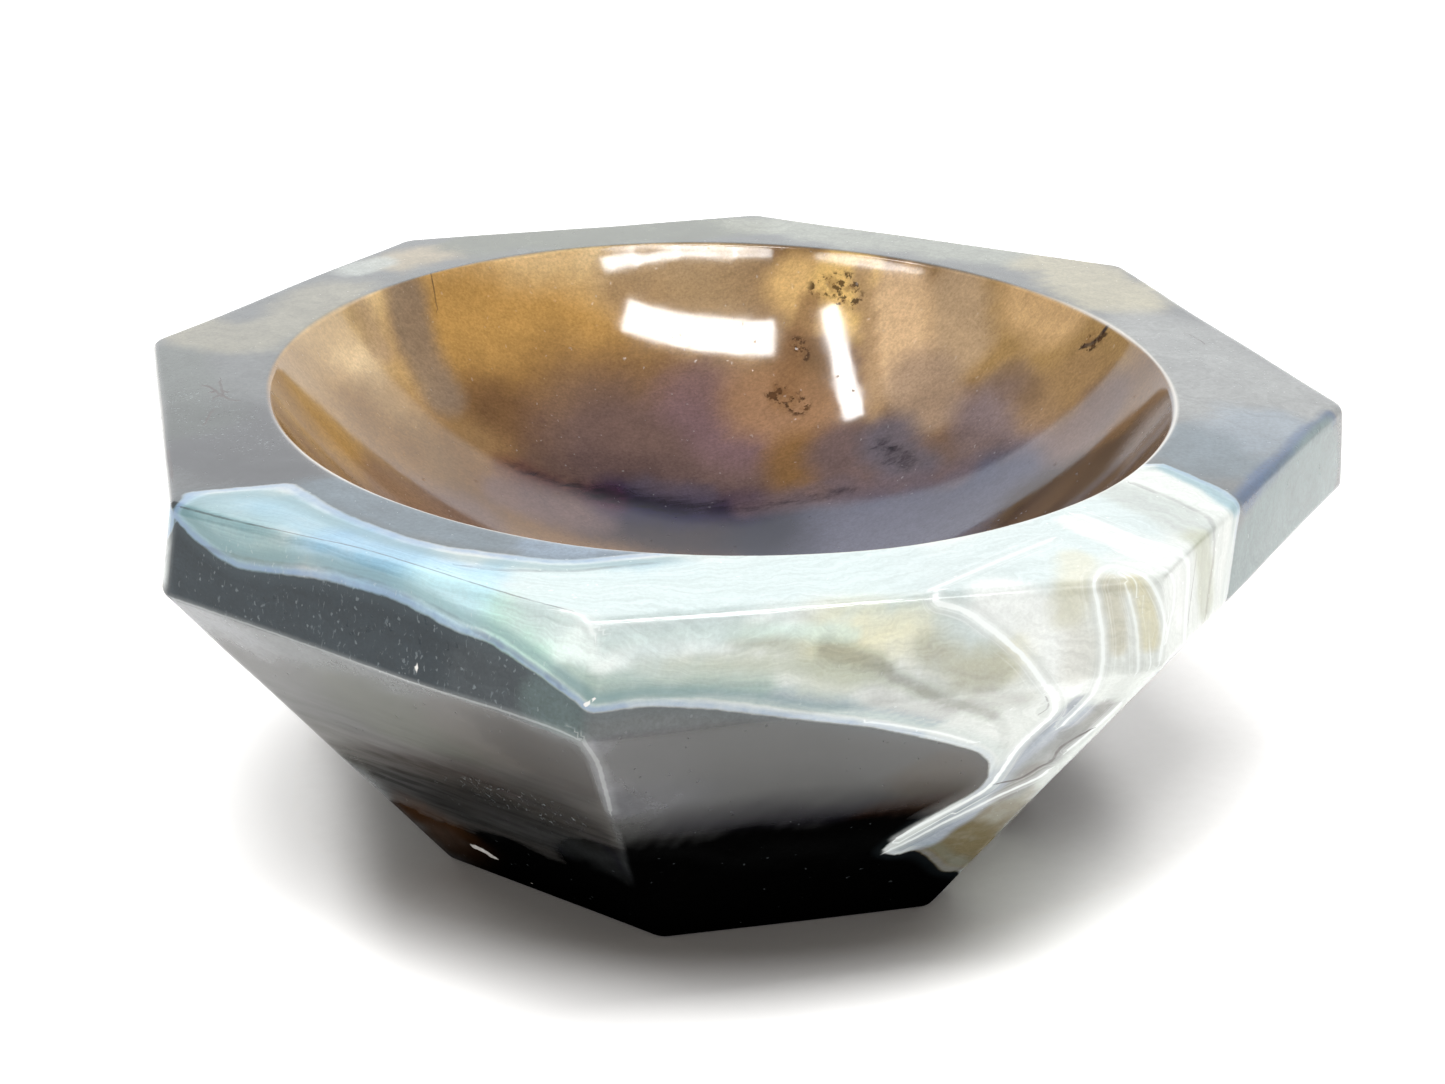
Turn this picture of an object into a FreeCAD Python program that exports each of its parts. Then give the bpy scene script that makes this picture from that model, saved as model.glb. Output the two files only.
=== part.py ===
import FreeCAD, Part
import math
import os

import Sketcher

# A small laboratory agate mortar with its pestle, in millimetres.
#
# Frame: origin on the bowl axis in the plane the foot stands on, +Z up,
# -Y towards the front side of the mortar, +X to its right.
#
# mortar : one block of stone. Eight flat lower facets lean out from an
#          eight-sided foot to the crease, a shallow band leans back in from
#          the crease to the flat rim, and a spherical bowl is sunk in the top.
# pestle : one rod, round at the working end, with eight tapered flats on the
#          grip. It lies on one flat behind the mortar.

os.makedirs("parts", exist_ok=True)
doc = FreeCAD.newDocument("AgateMortarAndPestle")

# ----------------------------------------------------------------- dimensions
DIMENSIONS = [
    # mortar, heights above the bench
    ("mortar_height", 20.63, "foot plane to rim plane"),
    ("crease_height", 16.79, "foot plane to the crease below the band"),
    # bowl
    ("bowl_radius", 20.46, "radius of the bowl mouth at the rim plane"),
    ("bowl_depth", 11.6, "rim plane to the lowest point of the bowl"),
    # rounded edges of the mortar
    ("corner_radius", 0.9, "rounding of the eight upright corners"),
    ("rim_rounding", 0.55, "rounding of the outer rim edge"),
    ("crease_rounding", 0.5, "rounding of the crease"),
    ("foot_rounding", 0.35, "rounding of the foot edge"),
    ("mouth_rounding", 0.4, "rounding of the bowl mouth"),
    # pestle, along its own axis from the working tip
    ("pestle_length", 50.0, "tip to grip end"),
    ("head_radius", 6.4, "largest radius, at the working end"),
    ("head_station", 6.0, "where the taper starts, above the tip"),
    ("tip_radius", 7.4, "spherical radius of the working tip"),
    ("grip_radius", 5.0, "radius of the blank at the grip end"),
    ("end_bulge", 1.5, "height of the domed grip end"),
    ("shoulder_rounding", 2.0, "blend from the tip to the side"),
    ("end_rounding", 0.7, "blend from the grip end to the side"),
    ("flat_start", 14.0, "where the flats run out into the round"),
    # pestle, where it lies on the bench
    ("rest_x", 9.5, "middle of the pestle, along X"),
    ("rest_y", 38.5, "middle of the pestle, along Y"),
    ("rest_heading", -13.0, "heading from tip to grip, degrees from +X"),
    # how far the cutting profiles reach past the stone
    ("overrun", 2.0, "bowl cut above the rim, flat cuts past the grip end"),
    ("flat_lead", 4.0, "flat cuts before flat_start"),
    ("flat_clearance", 3.0, "flat cuts outside the head radius"),
]

# The eight sides, clockwise from above, each with its own measured place:
# name, heading of the outward normal (degrees from +X), then the distance of
# its rim, crease and foot edges from the bowl axis
SIDE_TABLE = [
    ("back", 92.48, 24.49, 25.10, 14.38),
    ("backright", 49.77, 24.91, 25.54, 14.11),
    ("right", 1.86, 25.69, 26.22, 14.01),
    ("frontright", -47.76, 25.26, 25.73, 14.31),
    ("front", -94.00, 24.71, 25.46, 14.53),
    ("frontleft", -135.96, 25.08, 25.91, 14.29),
    ("left", 179.02, 25.09, 25.72, 14.41),
    ("backleft", 134.93, 24.77, 25.39, 14.60),
]
SIDES = [row[0] for row in SIDE_TABLE]
for side, heading, *distances in SIDE_TABLE:
    DIMENSIONS.append(("heading_" + side, heading, "outward heading of the %s side" % side))
    for edge, distance in zip(("rim", "crease", "foot"), distances):
        meaning = "%s edge, %s side, from the bowl axis" % (edge, side)
        DIMENSIONS.append((edge + "_" + side, distance, meaning))

sheet = doc.addObject("Spreadsheet::Sheet", "Dims")
sheet.Label = "Dims"
sheet.set("A1", "dimension")
sheet.set("B1", "value")
sheet.set("C1", "meaning")
for row, (alias, value, meaning) in enumerate(DIMENSIONS, start=2):
    sheet.set("A%d" % row, alias)
    sheet.set("B%d" % row, "%g" % value)
    sheet.setAlias("B%d" % row, alias)
    sheet.set("C%d" % row, meaning)
doc.recompute()
size = {alias: value for alias, value, meaning in DIMENSIONS}


# ------------------------------------------------------------- sketch helpers
def new_sketch(body, name, role, height=None):
    """A sketch on an origin plane of the body, lifted by the cell that height names."""
    sketch = body.newObject("Sketcher::SketchObject", name)
    plane = next(f for f in body.Origin.OriginFeatures if f.Role == role)
    sketch.AttachmentSupport = [(plane, "")]
    sketch.MapMode = "FlatFace"
    if height:
        sketch.setExpression("AttachmentOffset.Base.z", "Dims." + height)
    doc.recompute()
    return sketch


def add_line(sketch, start, end):
    segment = Part.LineSegment(FreeCAD.Vector(*start, 0), FreeCAD.Vector(*end, 0))
    return sketch.addGeometry(segment, False)


def add_arc(sketch, centre, radius, start_angle, end_angle):
    """An anticlockwise arc; angles in radians."""
    circle = Part.Circle(FreeCAD.Vector(*centre, 0), FreeCAD.Vector(0, 0, 1), radius)
    return sketch.addGeometry(Part.ArcOfCircle(circle, start_angle, end_angle), False)


def constrain(sketch, *arguments):
    return sketch.addConstraint(Sketcher.Constraint(*arguments))


def drive(sketch, name, expression, *arguments):
    """A named dimension constraint bound to an expression of sheet cells."""
    sketch.renameConstraint(constrain(sketch, *arguments), name)
    sketch.setExpression("Constraints." + name, expression)


def close_loop(sketch, curves):
    """Join the end of each curve to the start of the next, and the last to the first."""
    for curve, following in zip(curves, curves[1:] + curves[:1]):
        constrain(sketch, "Coincident", curve, 2, following, 1)


def octagon(body, name, edge, height=None):
    """An eight-sided outline with rounded corners. Each side is held by its
    distance from the axis and its heading; the corners share one radius."""
    sketch = new_sketch(body, name, "XY_Plane", height)
    count = len(SIDES)
    distances = [size[edge + "_" + side] for side in SIDES]
    headings = [math.radians(size["heading_" + side]) for side in SIDES]
    radius = size["corner_radius"]

    # per corner, between a side and the next one clockwise: its sharp point,
    # and how far from there the rounding starts
    corners = []
    setbacks = []
    for i in range(count):
        j = (i + 1) % count
        this, following = headings[i], headings[j]
        det = math.cos(this) * math.sin(following) - math.sin(this) * math.cos(following)
        x = (distances[i] * math.sin(following) - distances[j] * math.sin(this)) / det
        y = (math.cos(this) * distances[j] - math.cos(following) * distances[i]) / det
        corners.append((x, y))
        turn = (this - following) % (2 * math.pi)
        setbacks.append(radius * math.tan(turn / 2))

    lines = []
    line_ends = []
    for i in range(count):
        (x0, y0), (x1, y1) = corners[i - 1], corners[i]
        length = math.hypot(x1 - x0, y1 - y0)
        along_x, along_y = (x1 - x0) / length, (y1 - y0) / length
        start = (x0 + along_x * setbacks[i - 1], y0 + along_y * setbacks[i - 1])
        end = (x1 - along_x * setbacks[i], y1 - along_y * setbacks[i])
        line_ends.append(end)
        lines.append(add_line(sketch, start, end))

    arcs = []
    for i in range(count):
        x, y = line_ends[i]
        centre = (x - radius * math.cos(headings[i]), y - radius * math.sin(headings[i]))
        # the arc runs anticlockwise from the next side back to this one
        start_angle, end_angle = headings[(i + 1) % count], headings[i]
        while end_angle < start_angle:
            end_angle += 2 * math.pi
        arcs.append(add_arc(sketch, centre, radius, start_angle, end_angle))

    for i in range(count):
        constrain(sketch, "Tangent", lines[i], 2, arcs[i], 2)
        constrain(sketch, "Tangent", lines[(i + 1) % count], 1, arcs[i], 1)
    drive(sketch, "corner", "Dims.corner_radius", "Radius", arcs[0], radius)
    for arc in arcs[1:]:
        constrain(sketch, "Equal", arcs[0], arc)
    for side, line, distance in zip(SIDES, lines, distances):
        drive(sketch, "apothem_" + side, "Dims.%s_%s" % (edge, side),
              "Distance", -1, 1, line, distance)
        # a line run clockwise points a quarter turn behind its outward normal
        drive(sketch, "heading_" + side, "(Dims.heading_%s - 90) * 1 deg" % side,
              "Angle", line, math.radians(size["heading_" + side] - 90.0))
    doc.recompute()
    return sketch


# ------------------------------------------------------------ feature helpers
def add_feature(body, kind, name, bound=None, **properties):
    """A PartDesign feature at the tip of the body; bound maps properties to expressions."""
    feature = body.newObject("PartDesign::" + kind, name)
    for key, value in properties.items():
        setattr(feature, key, value)
    for key, expression in (bound or {}).items():
        feature.setExpression(key, expression)
    body.Tip = feature
    doc.recompute()
    return feature


def rounding(body, name, base, edges, alias):
    return add_feature(body, "Fillet", name, bound={"Radius": "Dims." + alias},
                       Base=(base, edges))


def edge_names(shape, wanted):
    """Names of the edges for which wanted(bounding box, mid-point's axis distance) holds."""
    names = []
    for i, edge in enumerate(shape.Edges, start=1):
        if edge.Degenerated:
            continue
        middle = edge.valueAt((edge.FirstParameter + edge.LastParameter) / 2)
        if wanted(edge.BoundBox, math.hypot(middle.x, middle.y)):
            names.append("Edge%d" % i)
    return names


def level_edges(shape, z, nearest, farthest, tolerance=0.02):
    """Edges that lie at height z, between two distances from the axis."""

    def wanted(box, distance):
        level = abs(box.ZMin - z) < tolerance and abs(box.ZMax - z) < tolerance
        return level and nearest < distance < farthest

    return edge_names(shape, wanted)


# --------------------------------------------------------------------- mortar
def bowl_section(body):
    """Half section of the bowl: a spherical cap, open upwards past the rim."""
    sketch = new_sketch(body, "BowlSection", "XZ_Plane")
    mouth, depth, rim = size["bowl_radius"], size["bowl_depth"], size["mortar_height"]
    floor = rim - depth
    top = rim + size["overrun"]
    sphere = (mouth * mouth + depth * depth) / (2 * depth)
    arc = add_arc(sketch, (0, floor + sphere), sphere,
                  -math.pi / 2, -math.pi / 2 + math.asin(mouth / sphere))
    wall = add_line(sketch, (mouth, rim), (mouth, top))
    lid = add_line(sketch, (mouth, top), (0, top))
    axis = add_line(sketch, (0, top), (0, floor))
    close_loop(sketch, [arc, wall, lid, axis])
    constrain(sketch, "Vertical", wall)
    constrain(sketch, "Horizontal", lid)
    constrain(sketch, "PointOnObject", axis, 1, -2)
    constrain(sketch, "PointOnObject", axis, 2, -2)
    constrain(sketch, "PointOnObject", arc, 3, -2)
    drive(sketch, "mouth", "Dims.bowl_radius", "DistanceX", arc, 2, mouth)
    drive(sketch, "rim_plane", "Dims.mortar_height", "DistanceY", arc, 2, rim)
    drive(sketch, "floor", "Dims.mortar_height - Dims.bowl_depth", "DistanceY", arc, 1, floor)
    drive(sketch, "above", "Dims.mortar_height + Dims.overrun", "DistanceY", lid, 2, top)
    doc.recompute()
    return sketch


def build_mortar():
    body = doc.addObject("PartDesign::Body", "Mortar")
    body.Label = "mortar"
    foot = octagon(body, "FootOutline", "foot")
    crease = octagon(body, "CreaseOutline", "crease", "crease_height")
    rim = octagon(body, "RimOutline", "rim", "mortar_height")
    add_feature(body, "AdditiveLoft", "LowerFacets", Profile=foot, Sections=[crease], Ruled=True)
    add_feature(body, "AdditiveLoft", "RimBand", Profile=crease, Sections=[rim], Ruled=True)

    section = bowl_section(body)
    feature = add_feature(body, "Groove", "Bowl", Profile=section,
                          ReferenceAxis=(section, ["V_Axis"]), Angle=360.0)

    mouth = size["bowl_radius"]
    outside = mouth + 1.5  # clear of the rounded mouth
    beyond = 40.0  # farther out than any edge
    # name, height, nearest and farthest distance from the axis, rounding
    roundings = [
        ("MouthEdge", size["mortar_height"], mouth - 0.05, mouth + 0.05, "mouth_rounding"),
        ("RimEdge", size["mortar_height"], outside, beyond, "rim_rounding"),
        ("CreaseEdge", size["crease_height"], outside, beyond, "crease_rounding"),
        ("FootEdge", 0.0, 5.0, beyond, "foot_rounding"),
    ]
    for name, z, nearest, farthest, alias in roundings:
        edges = level_edges(feature.Shape, z, nearest, farthest)
        feature = rounding(body, name, feature, edges, alias)
    return body


# --------------------------------------------------------------------- pestle
# Built upright on its own axis, working tip at the origin, then laid down.
LENGTH = size["pestle_length"]
HEAD, GRIP = size["head_radius"], size["grip_radius"]
HEAD_Z = size["head_station"]
TIP_SPHERE = size["tip_radius"]
TIP_Z = TIP_SPHERE - math.sqrt(TIP_SPHERE**2 - HEAD**2)  # where tip meets head
END_Z = LENGTH - size["end_bulge"]  # where the side meets the domed end

# A flat starts where it grazes the tapered side and deepens until, at the
# grip end, eight of them meet in sharp edges.
FLAT_Z = size["flat_start"]
FLAT_IN = HEAD + (GRIP - HEAD) * (FLAT_Z - HEAD_Z) / (END_Z - HEAD_Z)
FLAT_SLOPE = (GRIP * math.cos(math.pi / 8) - FLAT_IN) / (END_Z - FLAT_Z)

# the same three relations as sheet expressions
RUN_CELLS = "(Dims.pestle_length - Dims.end_bulge - Dims.flat_start)"
IN_CELLS = (
    "(Dims.head_radius + (Dims.grip_radius - Dims.head_radius)"
    " * (Dims.flat_start - Dims.head_station)"
    " / (Dims.pestle_length - Dims.end_bulge - Dims.head_station))"
)
SLOPE_CELLS = "((Dims.grip_radius * cos(22.5 deg) - %s) / %s)" % (IN_CELLS, RUN_CELLS)


def blank_section(body):
    """Half section of the rod: spherical tip, short cylinder, taper, domed end."""
    sketch = new_sketch(body, "BlankSection", "XZ_Plane")
    bulge = size["end_bulge"]
    end_sphere = (GRIP * GRIP + bulge * bulge) / (2 * bulge)
    tip = add_arc(sketch, (0, TIP_SPHERE), TIP_SPHERE,
                  -math.pi / 2, -math.pi / 2 + math.asin(HEAD / TIP_SPHERE))
    head = add_line(sketch, (HEAD, TIP_Z), (HEAD, HEAD_Z))
    taper = add_line(sketch, (HEAD, HEAD_Z), (GRIP, END_Z))
    end = add_arc(sketch, (0, LENGTH - end_sphere), end_sphere,
                  math.pi / 2 - math.asin(GRIP / end_sphere), math.pi / 2)
    core = add_line(sketch, (0, LENGTH), (0, 0))
    close_loop(sketch, [tip, head, taper, end, core])
    constrain(sketch, "Coincident", tip, 1, -1, 1)
    constrain(sketch, "PointOnObject", tip, 3, -2)
    constrain(sketch, "PointOnObject", end, 3, -2)
    constrain(sketch, "PointOnObject", end, 2, -2)
    constrain(sketch, "Vertical", head)
    drive(sketch, "tip", "Dims.tip_radius", "Radius", tip, TIP_SPHERE)
    drive(sketch, "widest", "Dims.head_radius", "DistanceX", head, 2, HEAD)
    drive(sketch, "station", "Dims.head_station", "DistanceY", head, 2, HEAD_Z)
    drive(sketch, "narrow", "Dims.grip_radius", "DistanceX", taper, 2, GRIP)
    drive(sketch, "shoulder", "Dims.pestle_length - Dims.end_bulge",
          "DistanceY", taper, 2, END_Z)
    drive(sketch, "length", "Dims.pestle_length", "DistanceY", end, 2, LENGTH)
    doc.recompute()
    return sketch


def flat_section(body):
    """Section of the cut for the flat on the +X side; its inner edge is the flat."""
    sketch = new_sketch(body, "FlatSection", "XZ_Plane")
    low, high = FLAT_Z - size["flat_lead"], LENGTH + size["overrun"]
    outer = HEAD + size["flat_clearance"]
    points = [
        (FLAT_IN + FLAT_SLOPE * (low - FLAT_Z), low),
        (FLAT_IN + FLAT_SLOPE * (high - FLAT_Z), high),
        (outer, high),
        (outer, low),
    ]
    lines = [add_line(sketch, a, b) for a, b in zip(points, points[1:] + points[:1])]
    inner, top, outside, bottom = lines
    close_loop(sketch, lines)
    constrain(sketch, "Horizontal", top)
    constrain(sketch, "Vertical", outside)
    constrain(sketch, "Horizontal", bottom)
    drive(sketch, "inner_start", "%s - Dims.flat_lead * %s" % (IN_CELLS, SLOPE_CELLS),
          "DistanceX", inner, 1, points[0][0])
    drive(sketch, "low", "Dims.flat_start - Dims.flat_lead", "DistanceY", inner, 1, low)
    drive(sketch, "inner_end",
          "%s + %s * (%s + Dims.end_bulge + Dims.overrun)" % (IN_CELLS, SLOPE_CELLS, RUN_CELLS),
          "DistanceX", inner, 2, points[1][0])
    drive(sketch, "high", "Dims.pestle_length + Dims.overrun", "DistanceY", inner, 2, high)
    drive(sketch, "outside", "Dims.head_radius + Dims.flat_clearance",
          "DistanceX", outside, 1, outer)
    doc.recompute()
    return sketch


def grip_end_edge(box, distance):
    """True for the scalloped edge between the flats and the domed end."""
    return box.ZMin > END_Z - 0.6 and box.ZMax - box.ZMin < 1.2 and box.ZMax < LENGTH - 0.4


def resting_placement():
    """Lays the pestle down with the flat on its own -X side on the bench."""
    tilt = math.atan(-FLAT_SLOPE)
    turn = math.radians(size["rest_heading"])
    along = FreeCAD.Vector(math.cos(turn), math.sin(turn), 0)
    up = FreeCAD.Vector(0, 0, 1)
    axis_z = along * math.cos(tilt) - up * math.sin(tilt)
    axis_x = up * math.cos(tilt) + along * math.sin(tilt)
    axis_y = axis_z.cross(axis_x)
    lift = (FLAT_IN - FLAT_SLOPE * FLAT_Z) * math.cos(tilt)
    middle = axis_z * (LENGTH / 2.0)
    base = FreeCAD.Vector(size["rest_x"] - middle.x, size["rest_y"] - middle.y, lift)
    return FreeCAD.Placement(base, FreeCAD.Rotation(axis_x, axis_y, axis_z, "XYZ"))


def build_pestle():
    body = doc.addObject("PartDesign::Body", "Pestle")
    body.Label = "pestle"
    section = blank_section(body)
    axis = (section, ["V_Axis"])
    add_feature(body, "Revolution", "Blank", Profile=section, ReferenceAxis=axis, Angle=360.0)
    flat = add_feature(body, "Pocket", "GripFlat", bound={"Length": "Dims.head_radius * 4"},
                       Profile=flat_section(body), Midplane=True, Type="Length")
    flats = add_feature(body, "PolarPattern", "GripFlats", Originals=[flat], Axis=axis,
                        Angle=360.0, Occurrences=8)

    tolerance = 0.01
    edges = level_edges(flats.Shape, TIP_Z, HEAD - tolerance, HEAD + tolerance, tolerance)
    shoulder = rounding(body, "Shoulder", flats, edges, "shoulder_rounding")
    edges = edge_names(shoulder.Shape, grip_end_edge)
    rounding(body, "GripEnd", shoulder, edges, "end_rounding")
    body.Placement = resting_placement()
    return body


mortar = build_mortar()
pestle = build_pestle()
doc.recompute()

# --------------------------------------------------------------------- export
for obj in doc.Objects:
    bad = [state for state in obj.State if state in ("Invalid", "Error")]
    if bad:
        raise RuntimeError("%s is %s" % (obj.Label, bad))
for body in (mortar, pestle):
    if not body.Shape.isValid() or len(body.Shape.Solids) != 1:
        raise RuntimeError("%s is not one valid solid" % body.Label)
if abs(pestle.Shape.optimalBoundingBox(True, False).ZMin) > 0.02:
    raise RuntimeError("the pestle doesn't lie on the bench")
if mortar.Shape.distToShape(pestle.Shape)[0] < 1.5:
    raise RuntimeError("the pestle lies too close to the mortar")

for body in (mortar, pestle):
    body.Shape.exportStep("parts/" + body.Label + ".step")
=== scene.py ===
"""Polished agate mortar with its pestle, on a pale floor in soft light.

The mortar is an octagonal cup that stands on the floor round the Z axis, mouth up. The
pestle lies behind it (+Y) on one of its flats. The camera looks from the front (-Y).
Shapes and patterns are in millimetres, MM turns them into metres; stage and lights are in metres.
"""
import math

import bpy
import numpy as np
from mathutils import Matrix, Vector


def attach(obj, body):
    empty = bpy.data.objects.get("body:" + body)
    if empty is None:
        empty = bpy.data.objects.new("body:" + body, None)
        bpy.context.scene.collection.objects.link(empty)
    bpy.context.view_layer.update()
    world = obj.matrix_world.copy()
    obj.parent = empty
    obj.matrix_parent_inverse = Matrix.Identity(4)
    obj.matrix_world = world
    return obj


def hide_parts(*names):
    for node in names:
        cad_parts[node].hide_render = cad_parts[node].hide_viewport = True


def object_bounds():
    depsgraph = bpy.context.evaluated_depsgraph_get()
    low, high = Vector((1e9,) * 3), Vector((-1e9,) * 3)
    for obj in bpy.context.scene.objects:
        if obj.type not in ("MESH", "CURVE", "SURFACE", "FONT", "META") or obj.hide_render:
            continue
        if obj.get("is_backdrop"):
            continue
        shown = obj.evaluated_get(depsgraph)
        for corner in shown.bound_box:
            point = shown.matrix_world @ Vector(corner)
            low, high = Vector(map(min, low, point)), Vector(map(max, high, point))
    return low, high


MM = 0.001

# ---------------------------------------------------------------- mortar sizes
RIM_Z = 20.63
MOUTH_RADIUS = 20.46
BOWL_DEPTH = 11.6
# corners of the octagon, anticlockwise from the back left one
RIM_CORNERS = [
    (-10.98, 24.04), (-24.92, 10.14), (-25.26, -9.96), (-11.74, -23.95),
    (9.56, -25.44), (26.05, -10.47), (25.34, 11.19), (9.12, 24.91),
]
CREASE_CORNERS = [
    (-11.25, 24.64, 16.79), (-25.53, 10.39, 16.79), (-25.92, -10.23, 16.85),
    (-12.19, -24.90, 16.39), (9.78, -25.98, 17.12), (26.45, -10.63, 16.78),
    (25.98, 11.47, 16.79), (9.36, 25.53, 16.79),
]
FOOT_CORNERS = [
    (-6.10, 14.46), (-14.40, 6.12), (-14.22, -5.53), (-6.43, -14.24),
    (5.65, -14.82), (13.95, -6.04), (14.08, 5.83), (5.78, 14.32),
]
# distance from each sharp corner to the start of its rounding
RIM_ROUNDINGS = [0.42, 0.40, 0.55, 0.42, 0.38, 0.45, 0.40, 0.42]
CREASE_ROUNDINGS = [0.45, 0.42, 0.60, 0.45, 0.40, 0.50, 0.45, 0.45]
FOOT_ROUNDINGS = [0.40, 0.36, 0.42, 0.36, 0.36, 0.40, 0.36, 0.36]
SIDE_CUTS = [36, 36, 36, 74, 88, 60, 36, 36]  # along the side that leaves each corner
CORNER_CUTS = 7

# ring numbers of the mortar grid, counted from the middle of the bowl to the middle of the foot
BOWL_RINGS = 77
BAND_RING = 115         # a ring on the outer wall
LOWER_RING = 132        # beyond this ring lie the lower facets
# soft borders between zones, as (first ring, last ring)
BOWL_END = (77.0, 81.5)
BAND_START = (103.0, 108.0)
RIM_END = (107.0, 112.0)
LOWER_START = (130.0, 134.0)
BAND_END = (131.0, 135.0)

# a place on three sides of the octagon (x, y)
FRONT = (-1.0, -21.5)
FRONT_LEFT = (-18.7, -17.4)
FRONT_RIGHT = (16.5, -16.8)

# ---------------------------------------------------------------- pestle sizes
PESTLE_LENGTH = 50.0
GRIP_RADIUS = 5.0
END_BULGE = 1.5         # height of the domed grip end
HEAD_RADIUS = 6.4
HEAD_END = 6.0          # where the straight head starts to taper
FLATS_START = 14.0
TIP_RADIUS = 7.4        # sphere of the working tip
TIP_ANGLE = 54.6        # degrees of that sphere that are used
SHOULDER_RADIUS = 2.0
SHOULDER_Z = 4.27
END_ROUNDING = 0.75
FLAT_POWER = 90.0       # the higher, the sharper the edges between flats
PESTLE_CENTRE = (9.5, 38.5)
PESTLE_TURN = math.radians(-13.0)
TAPER_END = PESTLE_LENGTH - END_BULGE
TAPER = (GRIP_RADIUS - HEAD_RADIUS) / (TAPER_END - HEAD_END)
FLAT_START_RADIUS = HEAD_RADIUS + TAPER * (FLATS_START - HEAD_END)
FLAT_SLOPE = (GRIP_RADIUS * math.cos(math.pi / 8) - FLAT_START_RADIUS) / (TAPER_END - FLATS_START)

# ---------------------------------------------------------------- stage
FLOOR_HALF = 1.6
FLOOR_Z = -0.00002
CAMERA_PLACE = (-0.02709746, -0.09170603, 0.05488060)
CAMERA_ELEVATION = 24.169394
CAMERA_AZIMUTH = -16.571357
CAMERA_ROLL = 1.2589757
SENSOR_WIDTH = 36.0
LENS = 54.8898727
SWEEP_COLOUR = (1.50, 1.515, 1.54, 1)
ROOM_COLOUR = (0.185, 0.163, 0.142, 1)
DEGREES = 57.29578      # in a radian
STRIP_DISTANCE = 0.60
STRIP_TARGET = (0, 0, 0.012)
# name, two ends as (azimuth from +Y towards +X, elevation) in degrees, width in m, radiance
FILL_STRIPS = [
    ("key", (150, 66), (-152, 69), 0.10, 27),
    ("key_left", (-122, 57), (-52, 61), 0.08, 19),
    ("key_right", (66, 56), (128, 60), 0.08, 14),
]
GLINT_STRIPS = [
    ("window_a", (150.6, 60.6), (179.0, 68.9), 0.080, 26),
    ("window_b", (179.6, 69.1), (-133, 68.6), 0.086, 26),
    ("low_a", (153.6, 48.6), (166, 48.8), 0.032, 24),
    ("low_b", (165, 48.9), (180, 49.6), 0.024, 24),
    ("low_c", (179, 49.7), (-160, 49.8), 0.017, 24),
    ("low_d", (-161, 49.7), (-147, 49.2), 0.013, 24),
    ("bar_left", (-118.7, 58), (-54.5, 65.6), 0.036, 26),
    ("bar_low", (-133, 47.4), (-98, 41.4), 0.009, 22),
]


# ---------------------------------------------------------------- pattern tables
def read_rows(text):
    """Reads rows of "settings: x y z, x y z, ..." that may run on over several lines.

    A point without z lies on the rim plane. Gives a list of (settings, points).
    """
    found = []
    for line in text.strip().splitlines():
        if ":" in line:
            settings, line = line.split(":")
            found.append(([float(v) for v in settings.split()], []))
        for place in line.split(","):
            if place.strip():
                place = [float(v) for v in place.split()]
                found[-1][1].append(place if len(place) == 3 else place + [RIM_Z])
    return [(settings, np.array(points)) for settings, points in found]


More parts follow.
